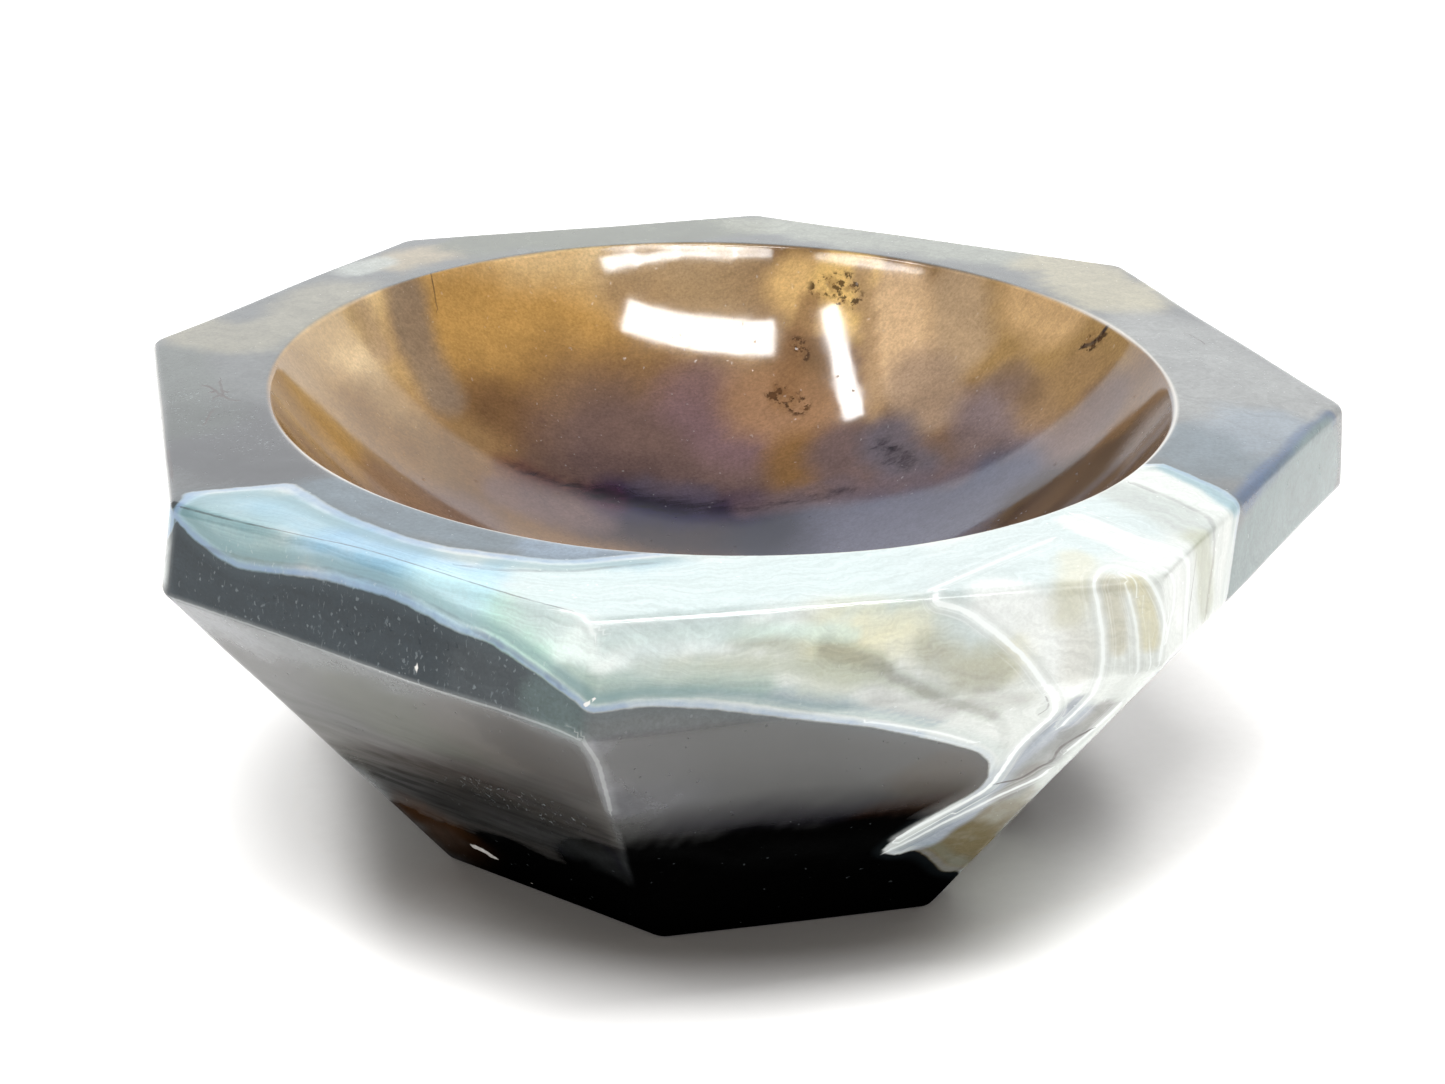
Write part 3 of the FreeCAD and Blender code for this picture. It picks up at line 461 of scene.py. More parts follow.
FOOT_DARK = read_rows("""
1 3.8 2: -7.72 -17.23 4.58, -3.48 -17.43 4.67, 0.84 -17.65 4.71, 3.52 -17.19 3.85
1 2.5 3: -11.32 -11.12 2.22, -9.93 -11.86 1.44, -7.23 -13.66 0.29
0.94 1.4 2.4: -14.24 -6.62 1.05, -12.43 -8.7 1.1
0.8 0.8 3: -12.18 -17.81 9.59, -10.55 -18.62 8.63, -9.46 -18.29 7.14
0.4 0.12 0.4: -12.21 -24.74 16.43, -11.21 -23.23 13.92, -10.36 -21.54 11.32, -9.63 -19.83 8.85
0.8 0.15 0.45: -9.95 -20.66 10.03, -9.24 -18.93 7.55, -8.55 -17.14 5.05
0.9 2 2.6: -17.02 -9.55 6.77, -14.07 -13.62 7.56, -11.11 -17.48 8.12
0.55 1.2 2.6: -19.66 -10.04 10.06, -16.23 -14.88 11.07, -13.34 -18.75 11.69, -11.38 -20.57 11.34
""")
RIM_STRENGTH = read_rows("""
0.85 1 1.2: -25.18 -10.07 20.25, -20.78 -8.73, -18.87 -12.59, -15.69 -16.44, -11.41 -18.77,
    -8.68 -19.06
1 0.9 1: -25.18 -10.07 20.25, -23.07 -12.68 18.95, -19.83 -15.9 19.51, -16.62 -19.31 19.25,
    -14.02 -22.26 18.6, -11.76 -24.68 17.51
0.75 0.9 1: -11.76 -24.68 17.51, -9.02 -24.86 17.45, -4.66 -25.2 16.61, 0.2 -24.22 14.81
0.6 0.7 0.8: 14.73 -15.23, 15.92 -18.47, 15.76 -19.89 20.19
0.35 0.6 0.6: 1.58 -23.77 14.07, 4.35 -22.63 12.19
""")


# ---------------------------------------------------------------- geometry helpers
def smooth_noise(points, seed, scale):
    """A few seeded plane waves: smooth, repeatable, no grid."""
    rng = np.random.RandomState(seed)
    total = np.zeros(points.shape[:-1])
    for _ in range(9):
        heading = rng.normal(size=3)
        heading /= np.linalg.norm(heading)
        frequency = rng.uniform(0.55, 1.6) * 2 * math.pi / scale
        total += np.sin(points @ heading * frequency + rng.uniform(0, 2 * math.pi))
    return total / 3.0


def unit(vectors):
    return vectors / np.linalg.norm(vectors, axis=-1, keepdims=True)


def bezier(start, control, end, share):
    share = share[..., None]
    return start * (1 - share) ** 2 + 2 * control * share * (1 - share) + end * share ** 2


def shares(count):
    """Equal steps up to 1, without the 0."""
    return np.linspace(0, 1, count + 1)[1:]


def straight_rings(start, end, count):
    return [start + (end - start) * share for share in shares(count)]


def curved_rings(start, control, end, count):
    return [bezier(start, control, end, share) for share in shares(count)]


def outward_normals(grid, outer_ring):
    """Normals of a grid of rings, turned to point away from the axis at one outer ring."""
    around = np.roll(grid, -1, 1) - np.roll(grid, 1, 1)
    down = np.empty_like(grid)
    down[1:-1] = grid[2:] - grid[:-2]
    down[0] = grid[1] - grid[0]
    down[-1] = grid[-1] - grid[-2]
    normals = np.cross(around, down)
    length = np.linalg.norm(normals, axis=-1, keepdims=True)
    length[length == 0] = 1
    normals = normals / length
    if (normals[outer_ring] * grid[outer_ring] * np.array([1, 1, 0])).sum() < 0:
        normals = -normals
    return normals


def grid_quads(ring_count, around):
    start = np.arange(around)
    following = np.roll(start, -1)
    ring = np.stack([start, following, following + around, start + around], -1)
    return np.concatenate([ring + i * around for i in range(ring_count - 1)])


def make_mesh(name, grid, normals, first_normal, last_normal):
    """A quad skin over a grid of rings, closed at both ends, with its own smooth normals."""
    ring_count, around, _ = grid.shape
    points = grid.reshape(-1, 3)
    quads = grid_quads(ring_count, around)
    # one quad half way shows whether the faces have to be turned over
    sample = quads[len(quads) // 2]
    a, b, c = points[sample[:3]]
    turned = np.cross(b - a, c - a) @ normals.reshape(-1, 3)[sample[0]] < 0
    if turned:
        quads = quads[:, ::-1]
    faces = quads.tolist()
    first_centre, last_centre = len(points), len(points) + 1
    last_ring = (ring_count - 1) * around
    for i in range(around):
        j = (i + 1) % around
        p, q = (i, j) if turned else (j, i)
        faces.append([first_centre, p, q])
        faces.append([last_centre, last_ring + q, last_ring + p])
    mesh = bpy.data.meshes.new(name)
    mesh.from_pydata((with_centres(points, around) * MM).tolist(), [], faces)
    mesh.update()
    mesh.polygons.foreach_set("use_smooth", [True] * len(mesh.polygons))
    thing = bpy.data.objects.new(name, mesh)
    bpy.context.scene.collection.objects.link(thing)
    normals = np.concatenate([normals.reshape(-1, 3), [first_normal, last_normal]])
    mesh.normals_split_custom_set_from_vertices(normals.tolist())
    return thing


def with_centres(values, around):
    """Adds the mean of the first ring and of the last ring, for the two closing points."""
    ends = [values[:around].mean(0, keepdims=True), values[-around:].mean(0, keepdims=True)]
    return np.concatenate([values] + ends)


def add_number(mesh, name, values):
    attribute = mesh.attributes.new(name, "FLOAT", "POINT")
    attribute.data.foreach_set("value", values.astype(np.float32))


def add_colour(mesh, name, colours):
    colours = np.concatenate([colours, np.ones((len(colours), 1))], 1)
    attribute = mesh.attributes.new(name, "FLOAT_COLOR", "POINT")
    attribute.data.foreach_set("color", colours.astype(np.float32).ravel())


# ---------------------------------------------------------------- mortar shape
def rounded_octagon(corners, roundings):
    corners = np.array(corners, float)
    pieces = []
    for k, corner in enumerate(corners):
        following = corners[(k + 1) % 8]
        ahead = unit(following - corner)
        behind = unit(corners[k - 1] - corner)
        start = corner + ahead * roundings[k]
        end = following - ahead * roundings[(k + 1) % 8]
        share = np.linspace(0, 1, CORNER_CUTS + 1)[:-1]
        pieces.append(bezier(corner + behind * roundings[k], corner, start, share))
        share = np.linspace(0, 1, SIDE_CUTS[k] + 1)[:-1]
        # shift the cuts a little along the side
        share = share - 0.10 * np.sin(2 * math.pi * share) / math.pi
        pieces.append(start + (end - start) * share[:, None])
    return np.concatenate(pieces)


def mortar_grid():
    """Rings from the middle of the bowl over the rim and down the side to under the foot."""
    rim = rounded_octagon([(x, y, RIM_Z) for x, y in RIM_CORNERS], RIM_ROUNDINGS)
    crease = rounded_octagon(CREASE_CORNERS, CREASE_ROUNDINGS)
    foot = rounded_octagon([(x, y, 0.0) for x, y in FOOT_CORNERS], FOOT_ROUNDINGS)
    angle = np.arctan2(rim[:, 1], rim[:, 0])
    radial = np.stack([np.cos(angle), np.sin(angle), 0 * angle], -1)
    mouth = radial * MOUTH_RADIUS + np.array([0, 0, RIM_Z])
    outward = unit(rim - mouth)
    downward = unit(crease - rim)
    inward = unit(foot - crease)
    # edge roundings, uneven all the way round
    uneven = 0.30 * np.sin(3 * angle + 1.0) * np.sin(5 * angle + 0.4)
    mouth_rounding = 0.20 * (1 + uneven + 0.16 * np.sin(11 * angle))
    uneven = 0.25 * np.sin(4 * angle + 2.1) + 0.12 * np.sin(13 * angle)
    rim_rounding = (0.44 * (1 + uneven))[:, None]
    uneven = 0.3 * np.sin(3 * angle + 0.3) + 0.15 * np.sin(9 * angle)
    crease_rounding = (0.24 * (1 + uneven))[:, None]
    foot_rounding = 0.24 * (1 + 0.3 * np.sin(5 * angle))

    # the bowl is part of a sphere
    sphere = (MOUTH_RADIUS ** 2 + BOWL_DEPTH ** 2) / (2 * BOWL_DEPTH)
    bowl_end = math.asin(MOUTH_RADIUS / sphere) - mouth_rounding / sphere
    rings = []
    for share in shares(BOWL_RINGS):
        turn = bowl_end * share ** 0.92
        height = RIM_Z - BOWL_DEPTH + sphere * (1 - np.cos(turn))
        lift = np.stack([0 * turn, 0 * turn, height], -1)
        rings.append(radial * (sphere * np.sin(turn))[:, None] + lift)
    rim_start = mouth + outward * mouth_rounding[:, None]
    rings += curved_rings(rings[-1], mouth, rim_start, 6)
    rim_end = rim - outward * rim_rounding
    rings += straight_rings(rim_start, rim_end, 22)
    band_start = rim + downward * rim_rounding
    rings += curved_rings(rim_end, rim, band_start, 7)
    band_end = crease - downward * crease_rounding
    rings += straight_rings(band_start, band_end, 18)
    facet_start = crease + inward * crease_rounding
    rings += curved_rings(band_end, crease, facet_start, 5)
    facet_end = foot - inward * foot_rounding[:, None]
    rings += straight_rings(facet_start, facet_end, 62)
    foot_start = foot * (1 - foot_rounding / np.linalg.norm(foot, axis=1))[:, None]
    rings += curved_rings(facet_end, foot, foot_start, 5)
    rings += [foot_start * np.array([size, size, 1.0]) for size in (0.9, 0.7, 0.45, 0.2)]
    return np.array(rings)


def lap_by_hand(grid):
    """Adds the slight unevenness of hand lapping, along the surface normal."""
    normals = outward_normals(grid, BAND_RING)
    height = grid[..., 2]
    amount = 0.016 * smooth_noise(grid, 5, 9.0) + 0.0035 * smooth_noise(grid, 8, 3.6)
    amount *= np.clip(height / 0.6, 0, 1)  # the foot stays flat
    amount *= 1 - 0.75 * np.clip((height - (RIM_Z - 0.05)) / 0.05, 0, 1)
    amount[:BOWL_RINGS + 1] *= 0.45
    grid = grid + normals * amount[..., None]
    grid[..., 2] = np.maximum(grid[..., 2], 0)
    return grid


# ---------------------------------------------------------------- colour pattern of the stone
def rgb(*levels):
    """Screen colour levels 0 to 255 as linear light."""
    level = np.asarray(levels, float) / 255.0
    return np.where(level <= 0.04045, level / 12.92, ((level + 0.055) / 1.055) ** 2.4)


def step(start, end, x):
    """Smooth 0 to 1 from start to end, either way round."""
    share = np.clip((x - start) / (end - start), 0, 1)
    return share * share * (3 - 2 * share)


def line_distance(points, line):
    """Distance to a broken line, with the nearest place on it and its heading."""
    best = np.full(len(points), 1e9)
    nearest = np.zeros_like(points)
    heading = np.zeros_like(points)
    for start, end in zip(line[:-1], line[1:]):
        run = end - start
        share = np.clip((points - start) @ run / max(run @ run, 1e-12), 0, 1)
        place = start + share[:, None] * run
        distance = np.linalg.norm(points - place, axis=1)
        closer = distance < best
        best[closer] = distance[closer]
        nearest[closer] = place[closer]
        heading[closer] = run / max(np.linalg.norm(run), 1e-9)
    return best, nearest, heading


def eased(line, cuts=5):
    """The same line with rounded turns (Catmull-Rom)."""
    if len(line) < 3:
        return line
    line = np.concatenate([[2 * line[0] - line[1]], line, [2 * line[-1] - line[-2]]])
    result = []
    for a, b, c, d in zip(line, line[1:], line[2:], line[3:]):
        for t in np.linspace(0, 1, cuts + 1)[:-1]:
            square = (2 * a - 5 * b + 4 * c - d) * t ** 2
            cube = (3 * b - a - 3 * c + d) * t ** 3
            result.append(0.5 * (2 * b + (c - a) * t + square + cube))
    result.append(line[-2])
    return np.array(result)


def same_side(points, place):
    """1 on the side of the octagon the place is on, 0 beyond its corners."""
    middle = math.atan2(place[1], place[0])

    def turn_from_middle(angle):
        return (angle - middle + math.pi) % (2 * math.pi) - math.pi

    corners = turn_from_middle(np.array([math.atan2(y, x) for x, y, _ in CREASE_CORNERS]))
    low, high = corners[corners <= 0].max(), corners[corners > 0].min()
    turn = turn_from_middle(np.arctan2(points[:, 1], points[:, 0]))
    soft = 0.012
    return step(low - soft, low + soft, turn) * (1 - step(high - soft, high + soft, turn))


def outer_reach(points, ring, line):
    """Where an outside wash may go: its own zone and, below the rim, its own side."""
    middle = line.mean(0)
    height = middle[2]
    if height > 20.5:
        return 1 - step(*RIM_END, ring)
    if height >= 19.9:
        return 1.0
    if height < 16.7:
        zone = step(*LOWER_START, ring)
    else:
        zone = step(*BAND_START, ring) * (1 - step(*BAND_END, ring))
    return zone * same_side(points, middle)


def paint(points, base, washes, wobble, ring=None):
    """Lays soft-edged washes over a base, in order; with rings given, each keeps to its face."""
    colour = np.tile(rgb(*base), (len(points), 1))
    for (red, green, blue, opacity, half_width, fade), line in washes:
        distance = line_distance(points, line)[0] + wobble * min(fade, 2.0) * 0.28
        cover = opacity * (1 - step(half_width, half_width + fade, distance))
        if ring is not None:
            cover = cover * outer_reach(points, ring, line)
        cover = cover[:, None]
        colour = colour * (1 - cover) + rgb(red, green, blue) * cover
    return colour


def layer_field(points):
    """Smooth field through the pale layer and its slope, solved from edges and guides."""
    lines = [(value, eased(line, 2)) for (value,), line in LAYER_EDGES]
    lines += [(value, line) for (value,), line in LAYER_GUIDES]
    centres = np.concatenate([line for _, line in lines])
    values = np.concatenate([np.full(len(line), value) for value, line in lines])
    keep = [0]
    for i in range(1, len(centres)):
        if np.min(np.linalg.norm(centres[keep] - centres[i], axis=1)) > 0.12:
            keep.append(i)
    centres, values = centres[keep], values[keep]
    count = len(centres)
    system = np.zeros((count + 4, count + 4))
    system[:count, :count] = np.linalg.norm(centres[:, None] - centres[None], axis=2)
    system[:count, count] = 1
    system[:count, count + 1:] = centres
    system[count, :count] = 1
    system[count + 1:, :count] = centres.T
    weights = np.linalg.solve(system, np.concatenate([values, np.zeros(4)]))

    def field(places):
        result = np.empty(len(places))
        for i in range(0, len(places), 20000):
            part = places[i:i + 20000]
            distance = np.sqrt(((part[:, None] - centres[None]) ** 2).sum(2) + 0.0004)
            flat = weights[count] + part @ weights[count + 1:]
            result[i:i + 20000] = distance @ weights[:count] + flat
        return result

    reach = 0.15
    slope = [(field(points + e) - field(points - e)) / (2 * reach) for e in np.eye(3) * reach]
    return field(points), np.linalg.norm(np.stack(slope, 1), axis=1)


def line_set(points, normals, lines):
    """Signed distance in half widths to the nearest line, distance in mm, and its strength."""
    best = np.full(len(points), 1e9)
    signed = np.full(len(points), 30.0)
    distance_mm = np.full(len(points), 3.0)
    strength = np.zeros(len(points))
    for (half_width, line_strength), line in lines:
        line = eased(line)
        close = (points > line.min(0) - 1.2) & (points < line.max(0) + 1.2)
        near_by = np.where(close.all(1))[0]
        distance, nearest, heading = line_distance(points[near_by], line)
        across = np.cross(heading, normals[near_by])
        side = np.sign(np.einsum("ij,ij->i", across, points[near_by] - nearest))
        side[side == 0] = 1
        widths = distance / half_width
        closer = widths < best[near_by]
        chosen = near_by[closer]
        best[chosen] = widths[closer]
        signed[chosen] = np.clip(widths * side, -30, 30)[closer]
        distance_mm[chosen] = np.minimum(distance, 3.0)[closer]
        strength[chosen] = line_strength
    return signed, distance_mm, strength


def soft_mask(points, spots, power=1.0):
    mask = np.zeros(len(points))
    for (strength, half_width, fade), line in spots:
        falloff = step(half_width, half_width + fade, line_distance(points, line)[0]) ** power
        mask = np.maximum(mask, strength * (1 - falloff))
    return mask


def layer_depth(points, normals, ring, wobble, field, slope):
    """Depth inside the pale layer in mm, negative outside it."""
    x, y, z = points.T
    depth = np.minimum(field - LAYER_LOW, LAYER_HIGH - field) / np.maximum(slope, 0.25)
    depth = np.clip(depth, -4, 4)
    # the layer pinches out at the left corner and does not run down the left side
    left = np.maximum(step(-16.0, -19.0, x),
                      step(-0.62, -0.72, normals[:, 0]) * (ring > LOWER_RING))
    pinch = np.minimum(np.maximum(z - 15.4, 0.3), 0.9 * np.maximum(-9.0 - y, -2.0))
    pinched = np.minimum(depth, depth * (1 - left) + left * pinch)
    depth = np.where(left > 0, pinched, depth)
    # inside the bowl it only reaches a little way below the near lip
    return np.where(ring < 80, np.minimum(depth, 0.8 * (z - 18.9) + 0.10 * wobble), depth)


def foot_shade(points, ring, wobble, depth):
    """How far the side loses its shine, 0 to 1: mostly low down and at the front left."""
    z = points[:, 2]
    power = 1.6
    low = ring > LOWER_RING
    lowest = 1 - step(3.4, 6.0, z + 0.4 * wobble) ** power
    shade = soft_mask(points + 0.25 * wobble[:, None], FOOT_DARK, power)
    shade = np.maximum(shade, lowest * low)
    shade = np.where(low, shade, 0.0)
    front = (1 - step(7.7, 12.5, z + 0.15 * wobble) ** power) * low * same_side(points, FRONT)
    shade = np.maximum(shade, front * step(0.0, -0.7, depth))
    shade = np.clip(shade * 1.02, 0, 1)
    left_band = step(109.0, 113.0, ring) * same_side(points, FRONT_LEFT)
    shade = np.maximum(shade, 0.50 * left_band * (1 - step(0.05, 0.25, depth)))
    return np.maximum(shade, 0.16 * (ring > 110))


def colour_mortar(mesh, grid, normals):
    """Stores the colour pattern as attributes that the material reads."""
    ring_count, around, _ = grid.shape
    points, normals = grid.reshape(-1, 3), normals.reshape(-1, 3)
    x, y, z = points.T
    ring = np.repeat(np.arange(ring_count), around).astype(float)
    wobble = sum(amount * smooth_noise(points, seed, scale)
                 for amount, seed, scale in ((0.55, 21, 6.0), (0.45, 22, 2.4), (0.30, 23, 1.0)))
    bowl = 1 - step(*BOWL_END, ring)
    tint = paint(points, BOWL_BASE, BOWL_WASHES, 0.55 * wobble) * bowl[:, None]
    outer = paint(points, OUTER_BASE, OUTER_WASHES, wobble, ring)
    tint = tint + outer * (1 - bowl[:, None])
    core = paint(points, LAYER_BASE, LAYER_WASHES, wobble)
    dark = step(6.6, 4.6, z + 0.4 * wobble) * (ring > LOWER_RING) * step(-14.9, -12.2, x)
    dark = dark[:, None]
    tint = tint * (1 - dark) + rgb(*FOOT_BLACK) * dark

    field, slope = layer_field(points)
    depth = layer_depth(points, normals, ring, wobble, field, slope)
    white = line_set(points, normals, WHITE_LINES)
    black = line_set(points, normals, DARK_LINES)
    chip = np.full(len(points), 9.0)
    for (half_width,), line in CHIPS:
        chip = np.minimum(chip, line_distance(points, line)[0] / half_width)
    numbers = {
        "lay": depth,
        "flow": field,
        "ws": white[0], "wo": white[1], "wk": white[2],
        "ds": black[0], "do": black[1], "dk": black[2],
        "chip": chip,
        "veil": same_side(points, FRONT_RIGHT) * step(*BAND_END, ring),
        "rimw": np.maximum(0.22, soft_mask(points, RIM_STRENGTH)),
        "foot": foot_shade(points, ring, wobble, depth),
        # painted highlight: a pale line along the ground edge of the mouth, on its near side
        "lip": np.exp(-(((ring - 79.8) / 1.3) ** 2)) * step(6.0, -4.0, y - 0.25 * x),
        "ink": soft_mask(points, INK),
        # painted pale sheen on the band of the left side
        "sliver": step(-0.82, -0.97, normals[:, 0]) * step(16.9, 17.6, z) * (ring > 106),
        "speck": soft_mask(points, SPECKS),
        "pit": soft_mask(points, PITS),
        "bowl": bowl,
    }
    for name, values in numbers.items():
        add_number(mesh, name, with_centres(values, around))
    add_colour(mesh, "tint", with_centres(tint, around))
    add_colour(mesh, "core", with_centres(core, around))


# ---------------------------------------------------------------- shader node helpers
def operator(operation, swapped=False):
    def build(self, other):
        pair = (other, self) if swapped else (self, other)
        return self.net.math(operation, *pair)
    return build


class Value:
    """A node output; an operator on it adds one math node."""

    def __init__(self, net, socket):
        self.net = net
        self.socket = socket

    __add__ = operator("ADD")
    __radd__ = operator("ADD", swapped=True)
    __sub__ = operator("SUBTRACT")
    __rsub__ = operator("SUBTRACT", swapped=True)
    __mul__ = operator("MULTIPLY")
    __rmul__ = operator("MULTIPLY", swapped=True)
    __truediv__ = operator("DIVIDE")
    __lt__ = operator("LESS_THAN")
    __gt__ = operator("GREATER_THAN")
    maximum = operator("MAXIMUM")

    def __abs__(self):
        return self.net.math("ABSOLUTE", self)

    def times_plus(self, factor, offset):
        return self.net.math("MULTIPLY_ADD", self, factor, offset)

    def output(self, name):
        """Another output of the same node."""
        return Value(self.net, self.socket.node.outputs[name])

    def ramp(self, span, to=(0.0, 1.0)):
        """Smooth change between the two values of `to` while this goes through the span."""
        inputs = {"Value": self, "From Min": span[0], "From Max": span[1],
                  "To Min": to[0], "To Max": to[1]}
        return self.net.add("MapRange", inputs, interpolation_type="SMOOTHSTEP")

    def noise(self, scale, detail=3.0, rough=0.5, warp=0.0):
        inputs = {"Vector": self, "Scale": scale, "Detail": detail, "Roughness": rough,
                  "Distortion": warp}
        return self.net.add("TexNoise", inputs, "Fac")

    def shift(self, *offset):
        return self.net.add("VectorMath", {0: self, 1: offset}, operation="ADD")

    def stretch(self, *factors):
        return self.net.add("VectorMath", {0: self, 1: factors}, operation="MULTIPLY")

    def scaled(self, factor):
        return self.net.add("VectorMath", {0: self, 3: factor}, operation="SCALE")

    def split(self):
        first = self.net.add("SeparateXYZ", {0: self})
        return [first.output(i) for i in range(3)]

    def dots(self, scale, radii, limit):
        """Cells with a dot in the share of them given by limit; gives (dot, cell colour)."""
        cell = self.net.add("TexVoronoi", {"Vector": self, "Scale": scale}, "Distance")
        colour = cell.output("Color")
        picked = colour.split()[0] < limit
        return cell.ramp(radii, to=(1.0, 0.0)) * picked, colour


class Net:
    """Writes the nodes of one tree as plain expressions."""

    def __init__(self, tree):
        self.tree = tree

    def plug(self, socket, value):
        if isinstance(value, Value):
            self.tree.links.new(value.socket, socket)
        elif isinstance(value, (tuple, list, np.ndarray)):
            value = [float(v) for v in value]
            if socket.type == "RGBA" and len(value) == 3:
                value.append(1.0)
            socket.default_value = value
        else:
            socket.default_value = value

    def add(self, kind, inputs, output=0, **settings):
        node = self.tree.nodes.new("ShaderNode" + kind)
        for name, value in settings.items():
            setattr(node, name, value)
        for name, value in inputs.items():
            self.plug(node.inputs[name], value)
        return Value(self, node.outputs[output])

    def math(self, operation, *inputs, clamp=False):
        inputs = dict(enumerate(inputs))
        return self.add("Math", inputs, operation=operation, use_clamp=clamp)

    def mix(self, amount, base, over, mode="MIX"):
        inputs = {0: amount, 6: base, 7: over}
        return self.add("Mix", inputs, 2, data_type="RGBA", blend_type=mode)

    def combine(self, x, y, z):
        return self.add("CombineXYZ", {0: x, 1: y, 2: z})

    def shade(self, colour, factor):
        return self.mix(1.0, colour, self.combine(factor, factor, factor), "MULTIPLY")

    def length(self, x, y):
        return self.math("SQRT", x * x + y * y)

    def banding(self, along, sides, tight, loose, detail, rough):
        """Noise in thin sheets: quick along one field, slow along the two others."""
        place = self.combine(along * tight, sides[0] * loose, sides[1] * loose)
        return place.noise(scale=1.0, detail=detail, rough=rough)


class MaterialNet(Net):
    def __init__(self, name):
        self.material = bpy.data.materials.new(name)
        self.material.use_nodes = True
        super().__init__(self.material.node_tree)
        self.surface = self.tree.nodes["Principled BSDF"].inputs

    def attribute(self, name, output="Fac"):
        return self.add("Attribute", {}, output, attribute_type="GEOMETRY", attribute_name=name)

    def point_mm(self):
        return self.add("TexCoord", {}, "Object").scaled(1000.0)

    def finish(self, colour, rough, specular, height, bump_strength, bump_depth):
        inputs = {"Strength": bump_strength, "Distance": bump_depth, "Height": height}
        values = {"Base Color": colour, "Roughness": rough, "Specular IOR Level": specular,
                  "IOR": 1.54, "Normal": self.add("Bump", inputs)}
        for name, value in values.items():
            self.plug(self.surface[name], value)
        return self.material


# ---------------------------------------------------------------- mortar material
class MortarAgate(MaterialNet):
    """Body stone with a pale layer through it, veins, threads, cracks and small blemishes; some
    edges, the near lip and the left band carry painted highlights and a painted sheen.
    """

    def __init__(self):
        super().__init__("mortar_agate_polished")
        self.point = self.point_mm()
        self.x, self.y, self.z = self.point.split()
        self.grain = self.point.noise(scale=7.0, detail=4.0, rough=0.62)
        self.cloud = self.point.noise(scale=0.34, detail=5.0, rough=0.58, warp=0.6)
        shifted = self.point.shift(31.0, 7.0, 3.0)
        self.mottle = shifted.noise(scale=1.5, detail=4.0, rough=0.6, warp=0.4)
        self.bowl = self.attribute("bowl")
        self.flow = self.attribute("flow")

    def body(self):
        factor = self.cloud.ramp((0.25, 0.75), to=(0.92, 1.08))
        factor = factor * self.mottle.ramp((0.2, 0.8), to=(0.93, 1.07))
        factor = factor * self.grain.ramp((0.2, 0.8), to=(0.84, 1.16))
        body = self.shade(self.attribute("tint", "Color"), factor)
        # faint parallel banding on the outside, following the pale layer
        wander = self.point.noise(scale=0.22, detail=3.0, rough=0.5).times_plus(9.0, self.flow)
        bands = self.banding(wander, (self.x, self.z), tight=1.9, loose=0.04,
                             detail=4.0, rough=0.65)
        outside = 1.0 - self.bowl
        bands = bands.ramp((0.30, 0.70), to=(0.90, 1.10)) * outside + self.bowl
        body = self.shade(body, bands)
        # smoky veins at the turn of the bowl, broken up by fine streaks
        ink = self.attribute("ink")
        streak = self.point.shift(2.0, 9.0, 4.0).stretch(0.55, 1.9, 2.2)
        streak = streak.noise(scale=1.0, detail=5.0, rough=0.68, warp=0.7)
        vein = streak.times_plus(2.1, ink).ramp((1.30, 2.40)) * ink.ramp((0.0, 0.35))
        body = self.mix(vein * 0.92, body, rgb(15, 14, 24))
        # silky streaks inside the bowl
        silk = self.point.stretch(1.1, 2.6, 0.9)
        silk = silk.noise(scale=2.2, detail=4.0, rough=0.72, warp=1.1)
        silk = silk.ramp((0.32, 0.68), to=(-0.085, 0.085)).times_plus(self.bowl, 1.0)
        body = self.shade(body, silk)
        # painted pale sheen, clouded, on the band of the left side
        sliver = self.attribute("sliver") * self.cloud.ramp((0.35, 0.68), to=(0.30, 0.86))
        return self.mix(sliver, body, rgb(186, 193, 192))

    def with_layer(self, body):
        """Lays the pale layer into the body; gives the colour and the layer's mask."""
        depth = self.attribute("lay")
        depth = depth + self.point.noise(scale=1.6, detail=3.0, rough=0.6).times_plus(0.12, -0.06)
        drift = self.point.noise(scale=0.5, detail=3.0, rough=0.6).times_plus(1.6, self.flow)
        fine = self.banding(drift, (self.x, self.y), tight=4.4, loose=0.22, detail=4.0, rough=0.7)
        fine = fine.ramp((0.30, 0.70), to=(0.89, 1.07))
        fine = fine * self.grain.ramp((0.2, 0.8), to=(0.93, 1.07))
        pale = self.shade(self.attribute("core", "Color"), fine)
        haze = self.point.shift(5.0, 50.0, 9.0).noise(scale=0.8, detail=4.0, rough=0.6, warp=0.5)
        pale = self.mix(haze.ramp((0.45, 0.7), to=(0.0, 0.10)), pale, rgb(186, 194, 192))
        # broader bands where the layer runs down the side
        veil = self.attribute("veil")
        wide = self.banding(drift, (self.x, self.z), tight=1.25, loose=0.05, detail=3.0, rough=0.6)
        sandy = veil * wide.ramp((0.50, 0.60), to=(0.0, 0.50))
        pale = self.mix(sandy, pale, rgb(158, 156, 140))
        bluish = veil * wide.ramp((0.34, 0.45), to=(0.45, 0.0))
        pale = self.mix(bluish, pale, rgb(138, 160, 172))
        # teal then blue lines just inside its border, and a dark outline outside it
        border = self.attribute("rimw")
        teal = depth.ramp((0.26, 0.42)) * depth.ramp((0.55, 1.0), to=(1.0, 0.0))
        pale = self.mix(teal * (border * 0.62), pale, rgb(100, 130, 134))
        blue = depth.ramp((-0.05, 0.06)) * depth.ramp((0.11, 0.38), to=(1.0, 0.0)) * border
        blue = blue * self.mottle.ramp((0.25, 0.75), to=(0.62, 0.95))
        pale = self.mix(blue, pale, rgb(119, 141, 168))
        inside = depth.ramp((-0.07, 0.07))
        outline = depth.ramp((-0.55, -0.10)) * depth.ramp((-0.04, 0.04), to=(1.0, 0.0))
        body = self.mix(outline * (border * 0.30), body, rgb(66, 78, 84))
        return self.mix(inside, body, pale), inside

